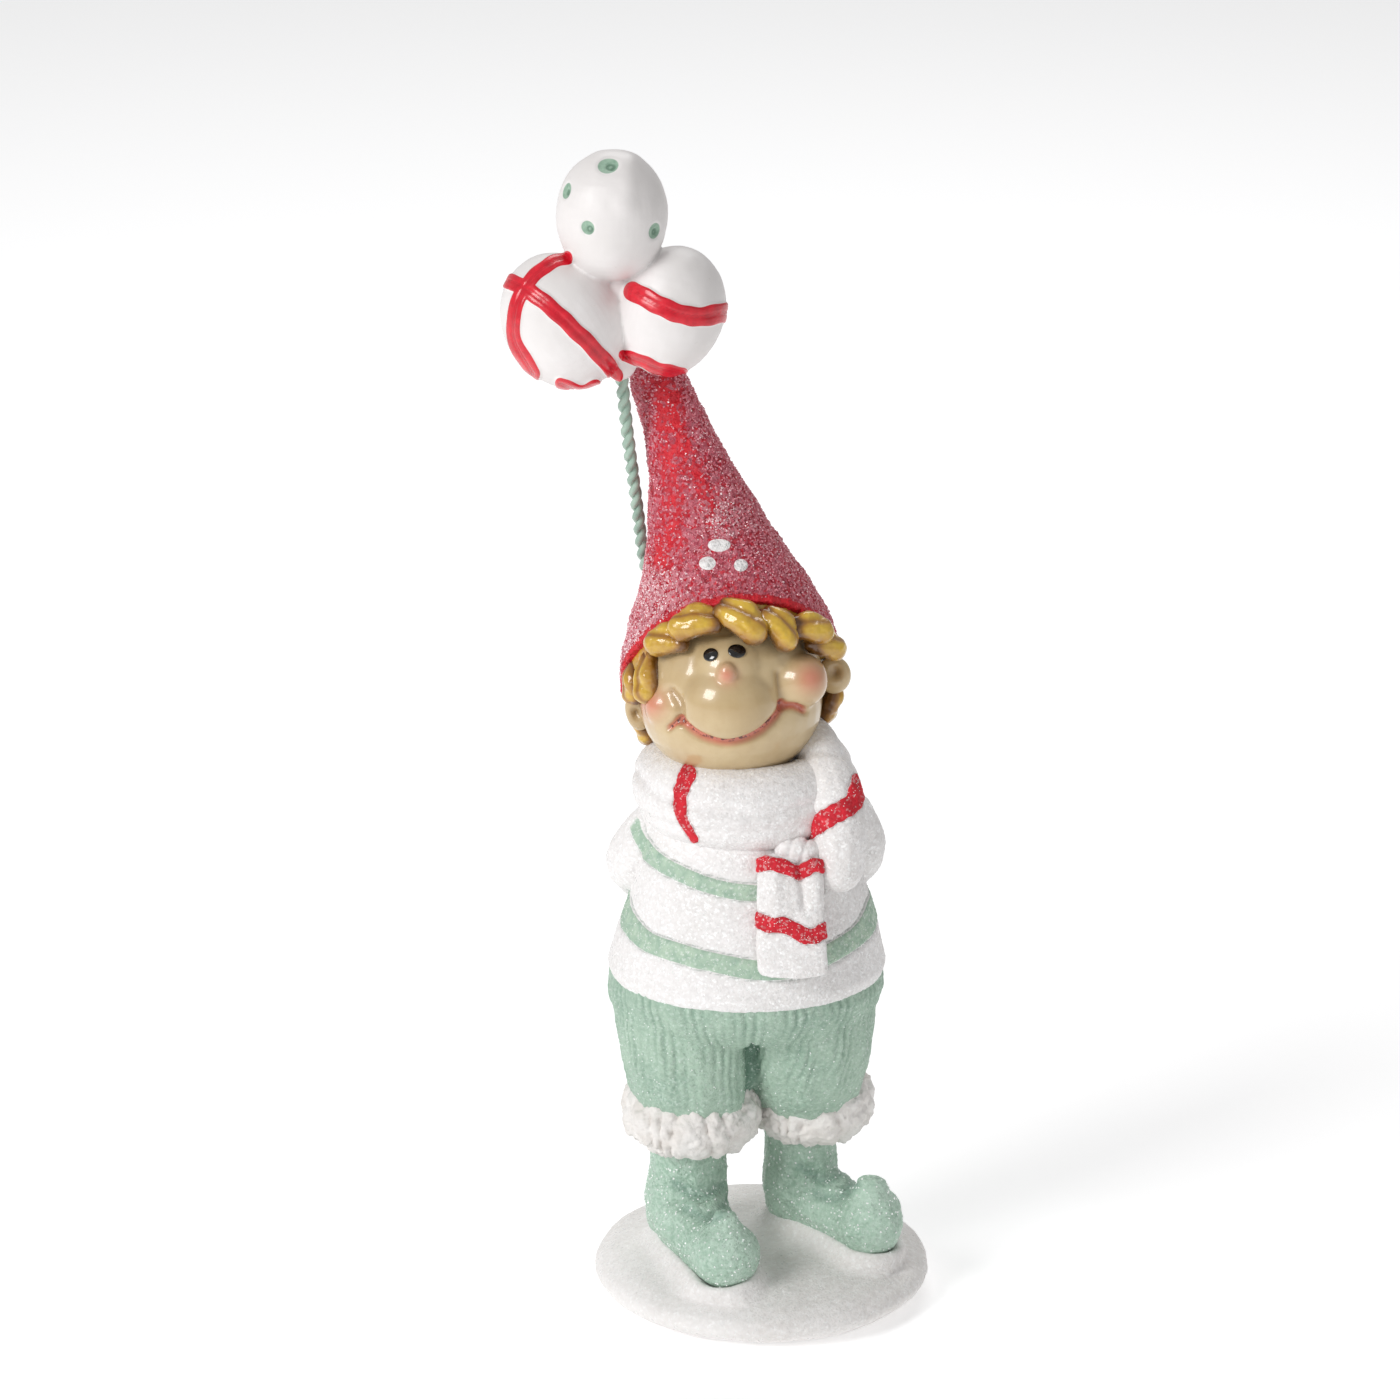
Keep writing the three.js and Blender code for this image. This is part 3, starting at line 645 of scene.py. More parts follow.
# trousers
trousers = {
    "hips": [(-2.6, 0, 40.6, 10, 7), (-2.6, 0, 41.4, 14.6, 10.6), (-2.7, 0, 43.0, 18.2, 13.4),
             (-2.6, 0, 45.4, 19.5, 15.4), (-2.4, 0, 48, 19.8, 16.8), (-2.4, 0, 51, 19.4, 16.7)],
    "legs": [[(-11.0, -0.6, 49, 10.4), (-10.8, -2.0, 43.4, 10.5), (-10.2, -2.2, 36.5, 9.9),
              (-9.8, -1.8, 31, 9.0), (-10.1, -1.5, 25.6, 7.0)],
             [(5.9, -0.4, 49, 10.2), (5.9, -1.2, 43.4, 10.4), (6.1, 0.6, 36, 9.6), (6.7, 2.8, 30.4, 8.2),
              (7.3, 4.0, 25.4, 6.6)]],
    "middle": -2.6, "girth": 18, "creaseAt": -1.5,
    "between": ((-1.3, 2.4, 34.0), (3.0, 5.0, 10)), "ribEvery": 1.35, "ribDepth": 0.3,
}
parts = [stack(trousers["hips"]), ball(*trousers["between"])]
parts += [rod(leg, ends=False, sides=16) for leg in trousers["legs"]]
pants = fuse(parts, 0.3, 26, "trousers_skin")
xyz = points(pants)
around = np.arctan2(xyz[:, 1] * 1.2, xyz[:, 0] - trousers["middle"]) * trousers["girth"]
wobble = 0.12 * np.sin(xyz[:, 2] * 0.9) + 0.05 * np.sin(xyz[:, 2] * 2.7 + xyz[:, 0])
ribs = 0.5 - 0.5 * np.cos((around + wobble) * 2 * math.pi / trousers["ribEvery"])
gap = hill(xyz[:, 0] - trousers["creaseAt"], 0.8) * np.clip((43.5 - xyz[:, 2]) / 3, 0, 1)
push(pants, gap, -1.0)
clear = np.clip((xyz[:, 2] - 27) / 14, 0.35, 1) * (0.6 + 0.4 * np.sin(around * 0.9 + 0.3 * xyz[:, 2]))
push(pants, (1 - ribs) ** 2 * clear, -trousers["ribDepth"])
# painted shade: darker in the rib valleys and in the gap between the legs
remember(pants, "crease", 0.5 * (1 - ribs) ** 2 * clear + gap)
rough(pants, 3, 0.4)
rough(pants, 0.6, 0.2)
hand(pants, "mintKnitPaint", nodes=["trousers"])
sprinkle(pants, "trouser_glints", 2600, 0.15, 31, "mintCrystal", where=above(28, 48))
sprinkle(pants, "trouser_sparks", 420, 0.28, 32, "clearCrystal", where=above(29, 47))
print("trousers done")

# fur cuffs
cuffs = {
    "right": {"at": (-10.1, -1.6, 28.3), "ring": 6.3, "thick": 3.7, "tall": 5.0, "gathers": 17},
    "left": {"at": (7.2, 3.5, 27.7), "ring": 5.3, "thick": 3.6, "tall": 5.0, "gathers": 15},
}
for side, shape in cuffs.items():
    letGo()
    bpy.ops.mesh.primitive_torus_add(major_radius=shape["ring"] * mm, minor_radius=shape["thick"] * mm,
                                     major_segments=64, minor_segments=24, location=metres(shape["at"]))
    bpy.context.object.scale = (1, 1, shape["tall"] / shape["thick"])
    cuff = fuse([settle(bpy.context.object)], 0.28, 4, f"cuff_{side}_fur")
    xyz = points(cuff) - np.array(shape["at"])
    angle = np.arctan2(xyz[:, 1], xyz[:, 0])
    drift = 1.4 * np.sin(3 * angle) + 0.9 * np.sin(7 * angle + 2) + 0.3 * xyz[:, 2] * np.sin(5 * angle + 1)
    folds = np.abs(np.cos(shape["gathers"] * angle / 2 + drift)) ** 0.8
    tufts = 0.5 + 0.5 * np.sin(1.9 * xyz[:, 2] + 11 * angle + 3 * np.sin(4 * angle))
    push(cuff, (1 - folds) * (0.35 + 0.65 * tufts), -0.75)
    push(cuff, tufts * folds, 0.3)
    # painted shade: beige in the fold valleys
    remember(cuff, "crease", (1 - folds) * 0.5 * tufts)
    rough(cuff, 1.4, 0.8)
    rough(cuff, 0.6, 0.5)
    rough(cuff, 0.35, 0.2)
    hand(cuff, "fur", nodes=[f"cuff_{side}"])
print("cuffs done")

# jumper and sleeves
jumper = {
    "rings": [(-2.4, 0, 49.2, 18.6, 16.0), (-2.4, 0, 49.4, 19.5, 16.8), (-2.3, 0, 51, 19.9, 17.2),
              (-2.2, 0, 53.7, 19.2, 16.8), (-2.0, 0, 56.8, 18.4, 16.2), (-1.9, 0, 60, 17.3, 15.3),
              (-2.0, 0, 64, 16.2, 14.3), (-2.1, 0, 68, 15.2, 13.2), (-2.2, 0, 72, 14.0, 12.2),
              (-2.3, 0, 77, 11.5, 10)],
    # each band's height at the back, its slope across and back, and 1 if it goes right round
    "levels": [(70.0, -0.126, 0.142, 0), (59.6, -0.017, 0.193, 1)],
    "stripes": [([(-20.6, 70.8), (-18.9, 67.1), (-15.7, 62.6), (-10.6, 59.8), (-6, 58.3), (-1.5, 57.7),
                  (4, 58), (10, 60.5), (16, 66)], 1.15),
                ([(-20.6, 56.5), (-19.5, 53.8), (-16.6, 50.8), (-12.1, 49.2), (-7.5, 48.0), (-0.6, 46.8),
                  (5, 47.2), (9.4, 49.1), (13.7, 51.7), (15.8, 54.7), (16.8, 58)], 1.4)],
}


def stripe(piece, stripes):
    # painted bands with a groove along each edge, the groove darkened as painted shade, drawn at the front
    # and carried on round the back
    xyz = points(piece)
    seen = onFace(xyz)
    band = np.zeros(len(xyz))
    lip = np.zeros(len(xyz))
    for (path, half), (height, across, back, goesRound) in zip(stripes, jumper["levels"]):
        level = np.abs(xyz[:, 2] - height - across * xyz[:, 0] - back * xyz[:, 1])
        behind = np.clip((xyz[:, 1] + 3) / 6, 0, 1)
        far = farFrom(seen, smoothPath(path)) * (1 - behind) + level * behind
        shown = 1 - behind * (1 - goesRound)
        band = np.maximum(band, shelf(far, half, 0.3) * shown)
        lip = np.maximum(lip, hill(far - half - 0.2, 0.16) * shown)
    push(piece, band, 0.16)
    push(piece, lip, -0.3)
    remember(piece, "green", band)
    # painted shade: the edge grooves are marked for the paint to darken
    remember(piece, "shaded_groove", lip * 0.8)


top = fuse([stack(jumper["rings"], 64)], 0.33, 10, "jumper_skin")
stripe(top, jumper["stripes"])
rough(top, 4.5, 0.3)
rough(top, 0.6, 0.14)
hand(top, "whiteKnitPaint", nodes=["jumper"])
sprinkle(top, "jumper_glints", 3600, 0.2, 41, "clearCrystal")

sleeves = {
    "right": [(-10.0, 0.5, 73, 5.0), (-14.6, 2, 69.4, 4.9), (-17.3, 4.2, 64.4, 5.2), (-14.8, 10.6, 61.4, 4.7),
              (-9.2, 15.6, 60.2, 4.1)],
    "left": [(6.5, 0.5, 74.5, 5.2), (11.0, 2.5, 70.6, 5.2), (12.4, 4.8, 65.6, 5.1), (9.6, 11.2, 61.8, 4.7),
             (4.2, 15.8, 60.6, 4.1)],
}
for side, stations in sleeves.items():
    sleeve = fuse([rod(stations, sides=16)], 0.33, 8, f"sleeve_{side}_skin")
    rough(sleeve, 4, 0.5)
    stripe(sleeve, jumper["stripes"][:1] if side == "right" else [])
    rough(sleeve, 0.6, 0.14)
    hand(sleeve, "whiteKnitPaint", nodes=[f"sleeve_{side}"])
    sprinkle(sleeve, f"sleeve_{side}_glints", 900, 0.2, 43, "clearCrystal")

hands = {"right": ((-5.2, 18.9, 59.8), (3.5, 2.9, 3.3)), "left": ((0.4, 18.8, 60.2), (3.3, 2.8, 3.2))}
for side, (at, radii) in hands.items():
    turn = 1 if side == "right" else -1
    x, y, z = at
    thumb = rod([(x - turn * 1.0, y + 1.5, z + 2.0, 1.1), (x + turn * 1.2, y + 2.0, z + 2.6, 1.0)])
    fist = fuse([ball(at, radii), thumb], 0.2, 5, f"hand_{side}_skin")
    xyz = points(fist) - np.array(at)
    fingers = sum(hill(xyz[:, 2] - level, 0.28) for level in (-1.7, -0.3, 1.1)) * (xyz[:, 1] > -0.4)
    push(fist, fingers, -0.35)
    # painted shade: darker between the fingers
    remember(fist, "crease", fingers * 0.8)
    hand(fist, "skin", nodes=[f"hand_{side}"])
print("jumper done")

# scarf
scarf = {
    "wrapAt": (-2.5, 0, 77.6), "wrapRing": 11.2, "wrapThick": 4.9, "wrapTall": 6.1, "wrapDeep": 0.92,
    "filling": ((-2.6, 0, 79.6), (10.6, 9.8, 4.6)),
    "wrapStripe": [(-10.6, 74.6), (-11.7, 71.6), (-11.5, 68.4), (-9.8, 65.2)],
    "fold": [(5.8, 4.0, 84.2, 3.0), (7.4, -2.4, 84.0, 3.4), (9.7, -8.0, 79.4, 4.0), (10.6, -10.3, 74, 4.1),
             (10.4, -11.2, 69.4, 3.7)],
    "foldStripe": [(6.2, 66.6), (9.4, 68.6), (12.4, 70.4), (13.6, 73.4)],
    "tail": [(3.5, -13.6, 71.6, 4.9), (3.6, -14.9, 68, 5.1), (3.8, -16.6, 61, 5.45), (4.1, -17.7, 55.4, 5.5)],
    "tailStripes": [([(-2.2, 61.0), (0.0, 61.9), (2.4, 61.6), (4.6, 60.7), (5.2, 60.7), (7.0, 61.7),
                      (9.6, 61.2)], 1.05),
                    ([(-2.2, 54.6), (0.6, 53.3), (3.0, 53.2), (5.6, 51.8), (7.4, 51.9), (10.2, 53.6)], 1.15)],
}


def redStripe(piece, stripes):
    seen = onFace(points(piece))
    front = points(piece)[:, 1] < 6
    band, shaded_groove = np.zeros(len(seen)), np.zeros(len(seen))
    for path, half, *thin in stripes:
        far, share = alongPath(seen, smoothPath(path))
        wavy = 0.08 * np.sin(seen[:, 0] * 3.1 + seen[:, 1] * 2.3)
        wide = half * (1 - share * (thin[0] if thin else 0)) + wavy
        band = np.maximum(band, shelf(far, wide, 0.3) * front)
        shaded_groove = np.maximum(shaded_groove, hill(far - wide - 0.1, 0.14) * front)
    push(piece, band, 0.2)
    push(piece, shaded_groove, -0.25)
    remember(piece, "red", band)
    # painted shade: the edge grooves are marked for the paint to darken
    remember(piece, "shaded_groove", shaded_groove * 0.7)


letGo()
bpy.ops.mesh.primitive_torus_add(major_radius=scarf["wrapRing"] * mm, minor_radius=scarf["wrapThick"] * mm,
                                 major_segments=72, minor_segments=28, location=metres(scarf["wrapAt"]))
bpy.context.object.scale = (1, scarf["wrapDeep"], scarf["wrapTall"] / scarf["wrapThick"])
wrap = fuse([settle(bpy.context.object), ball(*scarf["filling"])], 0.35, 6, "scarf_wrap_skin")
xyz = points(wrap) - np.array(scarf["wrapAt"])
angle = np.arctan2(xyz[:, 1], xyz[:, 0])
folds = hill(xyz[:, 2] - 1.9 - 0.9 * np.sin(angle * 1.5 + 0.6), 0.8)
folds = folds + 0.6 * hill(xyz[:, 2] + 2.3 - 0.8 * np.sin(angle + 2), 0.9)
push(wrap, folds, -0.7)
rough(wrap, 5, 0.5)
redStripe(wrap, [(scarf["wrapStripe"], 1.25, 0.5)])
rough(wrap, 0.6, 0.16)
hand(wrap, "scarfPaint", nodes=["scarf_wrap"])

fold = rod(scarf["fold"], sides=16)
fold = fuse([fold, ball((9.0, -9.6, 72), (3.2, 2.6, 4.5))], 0.3, 10, "scarf_fold_skin")
seen = onFace(points(fold))
pinches = hill(farFrom(seen, smoothPath([(5.0, 76.5), (7.6, 77.6), (11.6, 77.0)])), 0.6) * 0.7
push(fold, pinches, -0.5)
redStripe(fold, [(scarf["foldStripe"], 1.4)])
rough(fold, 0.6, 0.16)
hand(fold, "scarfPaint", nodes=["scarf_fold"])

knot = fuse([ball((4.7, -12.5, 72.2), (3.3, 1.8, 2.1))], 0.22, 6, "scarf_knot_skin")
seen = onFace(points(knot))
pleats = sum(hill(seen[:, 0] - across - 0.3 * (seen[:, 1] - 63), 0.3) for across in (3.4, 5.4))
push(knot, pleats, -0.3)
soften(knot, 2)
rough(knot, 0.6, 0.14)
for name in ("shaded_groove", "red"):
    remember(knot, name, np.zeros(len(points(knot))))  # the knot has no band
hand(knot, "scarfPaint", nodes=["scarf_knot"])

# the tail is a thick strip: a cube drawn out ring by ring down the front of the jumper
tailRun = smoothPath(scarf["tail"], 4)
letGo()
bpy.ops.mesh.primitive_cube_add(size=2 * mm, location=metres(tailRun[0][:3]))
tail = bpy.context.object
bpy.ops.object.mode_set(mode="EDIT")
bpy.ops.transform.resize(value=(tailRun[0][3], 1.35, 0.3), center_override=metres(tailRun[0][:3]))
bpy.ops.mesh.select_all(action="DESELECT")
bpy.ops.object.mode_set(mode="OBJECT")
lowest = min(tail.data.polygons, key=lambda face: face.center.z)
lowest.select = True
bpy.ops.object.mode_set(mode="EDIT")
bpy.ops.mesh.select_mode(type="FACE")
for before, after in zip(tailRun, tailRun[1:]):
    bpy.ops.mesh.extrude_region_move(TRANSFORM_OT_translate={"value": metres(after[:3] - before[:3])})
    bpy.ops.transform.resize(value=(after[3] / before[3], 1, 1), center_override=metres(after[:3]))
bpy.ops.object.mode_set(mode="OBJECT")
modify(tail, "SUBSURF", levels=2, render_levels=2)
tail = fuse([tail], 0.28, 5, "scarf_tail_skin")
seen = onFace(points(tail))
crease = hill(farFrom(seen, [(4.8, 64.5), (5.0, 61.0), (5.6, 56.0)]), 0.5)
push(tail, crease, -0.7)
plump = hill(farFrom(seen, [(1.2, 62), (1.6, 56)]), 1.4) + hill(farFrom(seen, [(7.2, 62), (7.4, 57)]), 1.0)
push(tail, plump, 0.5)
redStripe(tail, scarf["tailStripes"])
rough(tail, 3, 0.3)
rough(tail, 0.6, 0.16)
hand(tail, "scarfPaint", nodes=["scarf_tail"])
for piece, count in ((wrap, 1600), (fold, 800), (tail, 800)):
    sprinkle(piece, piece.name.replace("skin", "glints"), count, 0.19, 51, "clearCrystal")
print("scarf done")

# head
face = {
    "skull": ((-4.4, -0.3, 93.2), (12.9, 12.3, 11.9)), "jaw": ((-4.6, -1.2, 90.4), (12.9, 11.9, 10.9)),
    "muzzle": ((-4.9, -8.6, 93.2), (7.2, 6.6, 6.3)),
    "bridge": ((-4.8, -7.4, 97.6), (5.6, 5.2, 5.0)),
    "cheekRight": ((-13.6, -6.1, 91.4), (3.1, 3.0, 3.3)), "cheekLeft": ((5.2, -7.0, 95.6), (3.7, 3.7, 3.9)),
    "nose": (-5.2, 88.3),
    "smile": [(-13.3, 80.8), (-11.9, 81.7), (-9.9, 80.2), (-8, 79.2), (-5.5, 78.6), (-3, 79.0), (-0.5, 80.2),
              (1.5, 82.1), (2.7, 83.9)],
    "corner": [(2.7, 83.9), (4.1, 83.8), (5.6, 83.2)],  # where the smile turns out at the gnome's left
    "sides": [[(-13.0, 85.9), (-11.9, 84.2), (-11.9, 81.8)], [(2.0, 88.4), (2.2, 86.3), (2.7, 83.9)]],
    "eyes": [((-7.48, 91.0), (1.2, 1.02)), ((-3.85, 91.5), (1.3, 1.12))],
    "blush": [((-15.8, 84.2), 2.0), ((6.6, 87.8), 2.1), ((-5.2, 88.1), 1.3)],
}
parts = [ball(*face[lump]) for lump in ("skull", "jaw", "muzzle", "bridge", "cheekRight", "cheekLeft")]
head = fuse(parts, 0.25, 12, "head_skin")
skinTree = treeOf(head)
noseSpot, noseNormal = landOn(skinTree, *face["nose"])
noseBall = ball(noseSpot / mm - noseNormal * 0.1, (1.35, 1.3, 1.75))
head = fuse([head, noseBall], 0.25, 4, "head_skin")
seen = onFace(points(head))
front = points(head)[:, 1] < -2
smile = farFrom(seen, smoothPath(face["smile"]))
corner = farFrom(seen, smoothPath(face["corner"]))
creases = np.minimum(*[farFrom(seen, smoothPath(path)) for path in face["sides"]])
push(head, np.maximum(hill(smile, 0.45), hill(corner, 0.4)) * front, -0.9)
push(head, hill(creases, 0.6) * front, -0.7)
soften(head, 2)
lips = np.minimum(smile, corner)
remember(head, "lips", hill(lips, 0.5) * front)
remember(head, "lipLine", hill(smile, 0.25) * front)
# painted shade: darker in the creases beside the smile
remember(head, "crease", 0.5 * hill(creases, 0.5) * front)
blush = sum(hill(np.linalg.norm(seen - np.array(at), axis=1), size) for at, size in face["blush"])
remember(head, "blush", blush * front)
hand(head, "skin", nodes=["head"])
skinTree = treeOf(head)
for side, (at, radii) in zip(("right", "left"), face["eyes"]):
    spot, normal = landOn(skinTree, *at)
    lean = normal.to_track_quat("Z", "Y").to_euler()
    eye = ball(spot / mm + normal * 0.02, (radii[0], radii[1], 0.32), [math.degrees(a) for a in lean], 24)
    settle(eye, f"eye_{side}")
    modify(eye, "SUBSURF", levels=1, render_levels=1)
    hand(eye, "eye")

ears = {
    "right": {"at": (-17.6, 0.4, 88.4), "radii": (2.0, 1.5, 3.0), "turn": (0, -12, 25),
              "hollow": (-17.9, 82.6), "size": 0.9},
    "left": {"at": (9.9, 1.4, 93.4), "radii": (2.5, 1.5, 2.8), "turn": (0, 16, -20),
             "hollow": (10.0, 88.6), "size": 1.0},
}
for side, shape in ears.items():
    ear = fuse([ball(shape["at"], shape["radii"], shape["turn"])], 0.2, 3, f"ear_{side}_skin")
    xyz = points(ear)
    far = np.linalg.norm(onFace(xyz) - np.array(shape["hollow"]), axis=1)
    hollow = hill(far, shape["size"]) * (xyz[:, 1] < shape["at"][1])
    push(ear, hollow, -1.1)
    # painted shade: darker in the ear's hollow
    remember(ear, "crease", hollow * 0.9)
    hand(ear, "skin", nodes=[f"ear_{side}"])
print("head done")

# hat
hat = {
    "cone": [(-4.3, 2.6, 83, 15.6), (-4.4, 2.8, 90, 15.9), (-4.9, 3.0, 97, 15.3), (-5.8, 3.5, 103, 13.3),
             (-6.8, 4.0, 108, 10.9), (-8.0, 4.8, 113, 8.8), (-9.3, 5.5, 118, 7.2), (-10.8, 6.3, 123.5, 5.5),
             (-12.6, 7.4, 129, 4.5), (-14.6, 8.1, 134, 4.0), (-16.0, 8.5, 137.2, 3.2)],
    "bare": [([(-14.2, 128.5), (-13.4, 119.4), (-12.6, 110.3), (-14.6, 104)], 1.9),
             ([(-12.6, 127), (-10.2, 118), (-7.4, 112)], 1.1)],
    "whitest": [((-17.0, 93), 6.0), ((-15.5, 101), 3.0), ((-6.0, 110), 2.5)],
    "brimAt": (-4.2, -9, 109), "brimSlope": -50, "brimRoll": -11.6, "backEdge": 84.5,
    "dots": [((-6.3, 106.2), (1.55, 0.9)), ((-7.9, 103.7), (1.15, 0.95)), ((-3.3, 103.4), (0.95, 0.9))],
}


def hatForm(shrink, lower):
    # a leaning cone, cut along the brim and flat at the back
    form = rod([(x, y, z, radius - shrink) for x, y, z, radius in hat["cone"]], sides=40, steps=6)
    modify(form, "REMESH", mode="VOXEL", voxel_size=0.3 * mm)
    soften(form, 6)
    facing = Vector((0, 0, -1))
    facing.rotate(Euler((math.radians(hat["brimSlope"]), 0, 0)))
    facing.rotate(Euler((0, math.radians(hat["brimRoll"]), 0)))
    cutBy(form, Vector(hat["brimAt"]) + facing * lower, facing)
    cutBy(form, (0, 0, hat["backEdge"] - lower), (0, 0, -1))
    return form, facing


cap, brimFacing = hatForm(0, 0)
modify(cap, "REMESH", mode="VOXEL", voxel_size=0.3 * mm)
soften(cap, 3)
xyz = points(cap)
seen = onFace(xyz)


def bareness(at):
    flat = onFace(at)
    streaks = sum(hill(farFrom(flat, smoothPath(path)), width) for path, width in hat["bare"])
    return np.clip(streaks * (at[:, 1] < 8), 0, 1)


def rimness(at):
    inside = -(at - np.array(hat["brimAt"])) @ np.array(brimFacing)
    return hill(np.maximum(inside - 0.5, 0), 0.55)


def paleness(at):
    flat = onFace(at)
    return sum(hill(np.linalg.norm(flat - np.array(spot), axis=1), width) for spot, width in hat["whitest"])


remember(cap, "bare", bareness(xyz))
remember(cap, "rim", rimness(xyz))
remember(cap, "pale", paleness(xyz))
dots = np.zeros(len(xyz))
for at, radii in hat["dots"]:
    far = np.linalg.norm((seen - np.array(at)) / np.array(radii), axis=1)
    dots = np.maximum(dots, shelf(far, 1.0, 0.25) * (xyz[:, 1] < 4))
rough(cap, 4, 0.5)
rough(cap, 0.6, 0.4)
push(cap, dots, 0.25)
remember(cap, "dots", dots)
settle(cap, "hat_skin")
hand(cap, "hat", nodes=["hat"])


def frosted(at):
    onDot = np.zeros(len(at), bool)
    for spot, radii in hat["dots"]:
        onDot |= np.linalg.norm((onFace(at) - np.array(spot)) / np.array(radii), axis=1) < 1.1
    return (1.03 - 0.8 * bareness(at)) * (1 - 0.97 * rimness(at)) * ~onDot


sprinkle(cap, "hat_frost_grains", 13500, 0.42, 61, "pinkCrystal", where=frosted)
sprinkle(cap, "hat_glints", 3000, 0.36, 62, "whiteCrystal",
         where=lambda at: (paleness(at) + 0.05) * frosted(at))
print("hat done")

# hair
curls = [  # each curl's two ends and its thickness; node 1 is at the gnome's right temple
    ((-18.9, -0.4, 95.0), (-18.6, -1.8, 91.8), 1.65), ((-16.6, -3.6, 97.8), (-16.9, -6.0, 93.6), 1.8),
    ((-12.2, -8.8, 101.8), (-15.2, -6.6, 101.2), 1.9), ((-7.4, -9.8, 105.4), (-11.6, -8.4, 104.2), 2.05),
    ((-5.9, -9.4, 106.9), (-1.6, -10.8, 104.6), 2.1), ((0.4, -9.0, 106.0), (3.1, -9.8, 103.0), 1.85),
    ((5.0, -7.4, 103.4), (8.2, -5.6, 102.6), 1.85), ((7.4, -5.2, 100.4), (10.2, -3.4, 99.2), 1.8),
    ((-17.6, 4.6, 87.4), (-16.6, 3.0, 83.8), 1.7), ((10.2, 4.6, 91.4), (9.2, 3.2, 87.2), 1.75),
]
for i in range(5):  # the nape's locks stand in an arc under the hat's back edge
    angle = math.radians(28 + 31 * i)
    x, y = -4.2 + 13.2 * math.cos(angle), 0.6 + 12.4 * math.sin(angle)
    curls.append(((x, y, 87.4), (x * 0.98 - 0.1, y * 0.97, 83.6), 2.0))
middle = np.array([-4.2, 0, 95])
for number, (start, end, radius) in enumerate(curls, 1):
    start, end = np.array(start), np.array(end)
    out = (start + end) / 2 - middle
    out /= np.linalg.norm(out)
    across = np.cross(end - start, out) / np.linalg.norm(end - start)
    across = across if across[2] > 0 else -across
    start, end = start - out * radius * 0.4, end - out * radius * 0.25  # pressed onto the head
    bow = (start + end) / 2 + out * radius * 0.2
    side = -0.55 * radius  # the smaller lobe lies above the main one
    stations = [(*start, radius * 0.7), (*bow, radius * 0.92), (*end, radius * 1.05)]  # fat at the free end
    second = [(*(start - across * side), radius * 0.6), (*(bow - across * side * 1.5), radius * 0.8),
              (*(end - across * side * 1.35 - (end - start) * 0.2), radius * 0.75)]
    lock = fuse([rod(stations), rod(second)], 0.16, 6, f"hair_curl_{number:02d}_lock")
    rough(lock, 2.0, 0.45)
    xyz = points(lock) - bow
    valley = hill(xyz @ across + side * 0.75, 0.5) * np.clip(xyz @ out + radius * 0.6, 0, 1)
    push(lock, valley, -0.12)
    # painted shade: darker low on the lock towards the head, at the root under the hat and in the valley
    # between lobes; the strands term adds streaks along the lock
    low = np.clip(0.45 - (xyz @ out) / (radius * 1.2), 0, 1)
    root = np.clip(0.4 - (points(lock) - start) @ (end - start) / (radius * 6), 0, 1)
    strands = 0.5 + 0.5 * np.sin(xyz @ across * 5.5 / radius + 0.6 * np.sin(xyz @ out * 2))
    remember(lock, "crease", low ** 1.5 * 1.3 + root ** 2 * 1.2 + 0.24 * strands + 0.34 * valley)
    hand(lock, "hair", nodes=[f"hair_curl_{number:02d}"])
rim, facing = hatForm(0.9, 1.5)
settle(rim, "hair_rim")
# painted shade: the whole rim under the hat's edge is evenly browner
remember(rim, "crease", np.full(len(rim.data.vertices), 0.25))
rough(rim, 1.6, 0.5)
hand(rim, "hair")
print("hair done")

# balloons
cluster = {  # the three balloons are one casting, with the resin run together between them
    "webs": [((-20.2, 2.6, 147.6), (3.6, 4.6, 8.0)), ((-19.7, 0.3, 140.2), (2.3, 2.3, 3.0))],
    "voxel": 0.2, "softening": 7, "ridge": [(-18.6, 158), (-19.0, 152)],
}
balloons = {
    "top": {"at": (-21.0, 0, 160.8), "radii": (7.7, 7.5, 9.2), "turn": (0, 0, 0), "ribbons": [],
            "dots": [((-21.5, 157.6), 1.5), ((-27.3, 154.2), 1.2), ((-24.3, 148.9), 1.05),
                     ((-15.0, 148.6), 1.2)]},
    "right": {"at": (-27.6, 0, 145.8), "radii": (8.5, 7.9, 9.8), "turn": (0, -33, 0), "dots": [],
              "ribbons": [([(-35.2, 142.2), (-34.4, 141.9), (-32.5, 140.8), (-29.3, 138.3), (-26.4, 135.6),
                            (-23.4, 132.7), (-20.6, 129.6)], 1.1),
                          ([(-27.3, 145.2), (-29.3, 144.5), (-31.75, 142.5), (-33.5, 140), (-34.3, 137.1),
                            (-34.2, 133.9), (-31.8, 129.7)], 1.0),
                          ([(-28.1, 128.4), (-25.4, 127.5), (-23.2, 128.2)], 0.75)]},
    "left": {"at": (-13.0, 0, 147.2), "radii": (7.5, 7.1, 9.2), "turn": (0, 14, 0), "dots": [],
             "ribbons": [([(-18.1, 140.7), (-14.6, 138.7), (-11.7, 137.5), (-8.8, 137.2), (-5.2, 138.1)],
                          1.3),
                         ([(-19.5, 132.2), (-17.1, 131.5), (-14.6, 130.4), (-11.4, 129.8)], 0.8)]},
}
parts = [ball(shape["at"], shape["radii"], shape["turn"], 48) for shape in balloons.values()]
parts += [ball(at, radii) for at, radii in cluster["webs"]]
balloon = fuse(parts, cluster["voxel"], cluster["softening"], "balloon_cluster_skin")
rough(balloon, 7, 0.5)
xyz = points(balloon)
seen = onFace(xyz)
front = xyz[:, 1] < 2.5
push(balloon, hill(farFrom(seen, cluster["ridge"]), 1.6) * front, 0.4)
ribbon, groove, dent, shaded_pit = (np.zeros(len(xyz)) for _ in range(4))
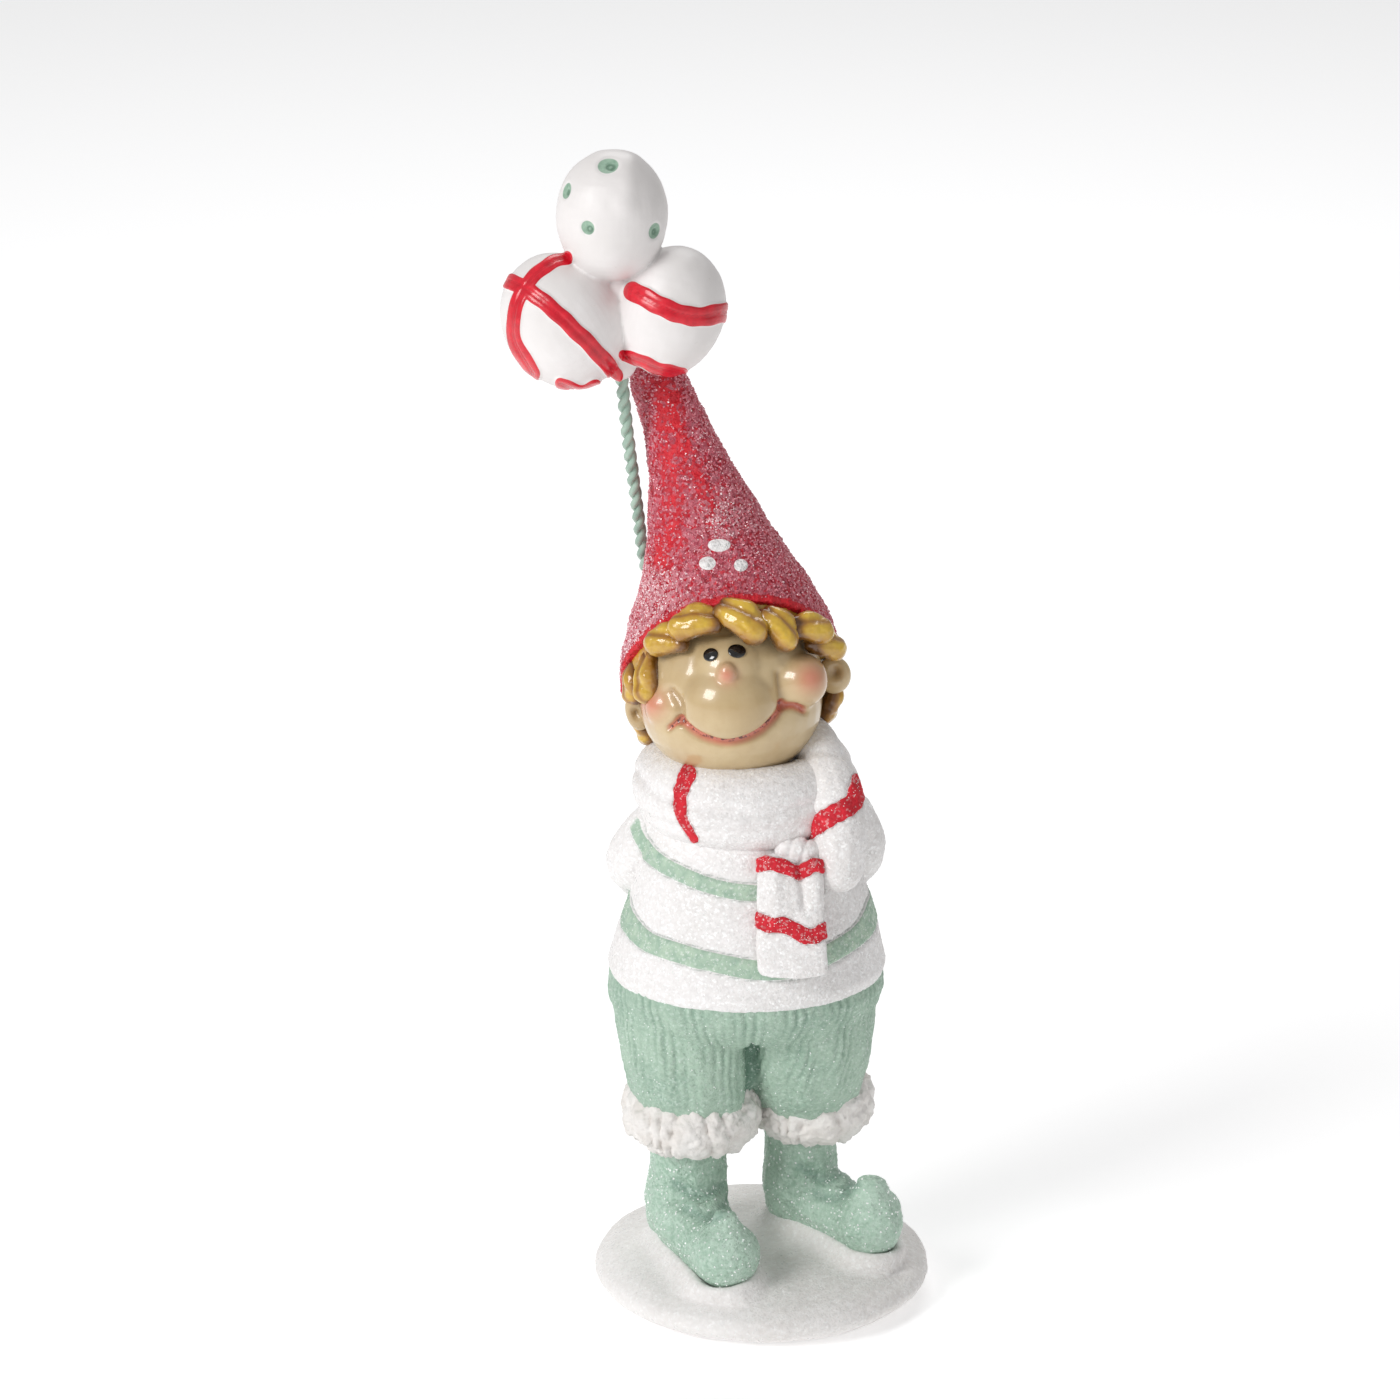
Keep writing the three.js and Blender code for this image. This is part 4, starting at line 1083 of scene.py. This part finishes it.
for shape in balloons.values():
    for path, half in shape["ribbons"]:
        far = farFrom(seen, smoothPath(path))
        ribbon = np.maximum(ribbon, shelf(far, half + 0.06 * np.sin(seen[:, 0] * 2.3), 0.2))
        groove = np.maximum(groove, hill(far - half * 0.12, 0.14))
    for at, radius in shape["dots"]:
        middle = xyz[np.argmin(np.linalg.norm(seen - np.array(at), axis=1) + 0.05 * xyz[:, 1])]
        offset = (xyz - middle) / radius
        dent = np.maximum(dent, shelf(np.linalg.norm(offset, axis=1), 0.95, 0.25))
        # the small pit inside each dot, pressed in and darkened by the paint as painted shade
        shaded_pit = np.maximum(shaded_pit, hill(np.linalg.norm(offset - (0.25, 0, -0.2), axis=1) - 0.35, 0.16))
push(balloon, ribbon, 0.3)
push(balloon, groove, -0.13)
push(balloon, dent, -0.3)
push(balloon, shaded_pit, -0.25)
# painted shade: the ribbon grooves and the pits in the dots are marked for the paint to darken
for name, values in (("red", ribbon), ("shaded_groove", groove * 0.6), ("green", dent), ("shaded_pit", shaded_pit)):
    remember(balloon, name, values)
hand(balloon, "balloon", stem,
     nodes=["balloon_top", "balloon_right", "balloon_left", "balloon_neck"])
print("balloons done")

# twisted wire
wire = {
    "route": [(-5.0, 19.0, 56.6), (-5.2, 19.2, 62), (-9.2, 19.2, 80), (-14.0, 17.2, 95), (-16.7, 12.6, 106),
              (-17.7, 9.2, 115), (-18.5, 6.0, 122.7), (-19.1, 3.5, 128.7), (-19.7, 0.9, 136.2),
              (-19.8, 0.3, 139.6)],
    "pitch": 4.5, "strand": 0.56, "offset": 0.39,
}
route = smoothPath(wire["route"], 30)
gone = np.concatenate([[0], np.cumsum(np.linalg.norm(np.diff(route, axis=0), axis=1))])
for phase, letter in ((0, "a"), (math.pi, "b")):
    turning = []
    for i in range(0, len(route), 2):
        ahead = route[min(i + 1, len(route) - 1)] - route[max(i - 1, 0)]
        ahead /= np.linalg.norm(ahead)
        side = np.cross(ahead, (0, 1, 0))
        side /= np.linalg.norm(side)
        front = np.cross(ahead, side)
        angle = phase + 2 * math.pi * gone[i] / wire["pitch"]
        spot = route[i] + wire["offset"] * (side * math.cos(angle) + front * math.sin(angle))
        turning.append((*spot, wire["strand"]))
    strand = rod(turning, sides=10, steps=2)
    settle(strand, f"wire_strand_{letter}_skin")
    hand(strand, "wire", stem, nodes=[f"wire_strand_{letter}"])
print("wire done")

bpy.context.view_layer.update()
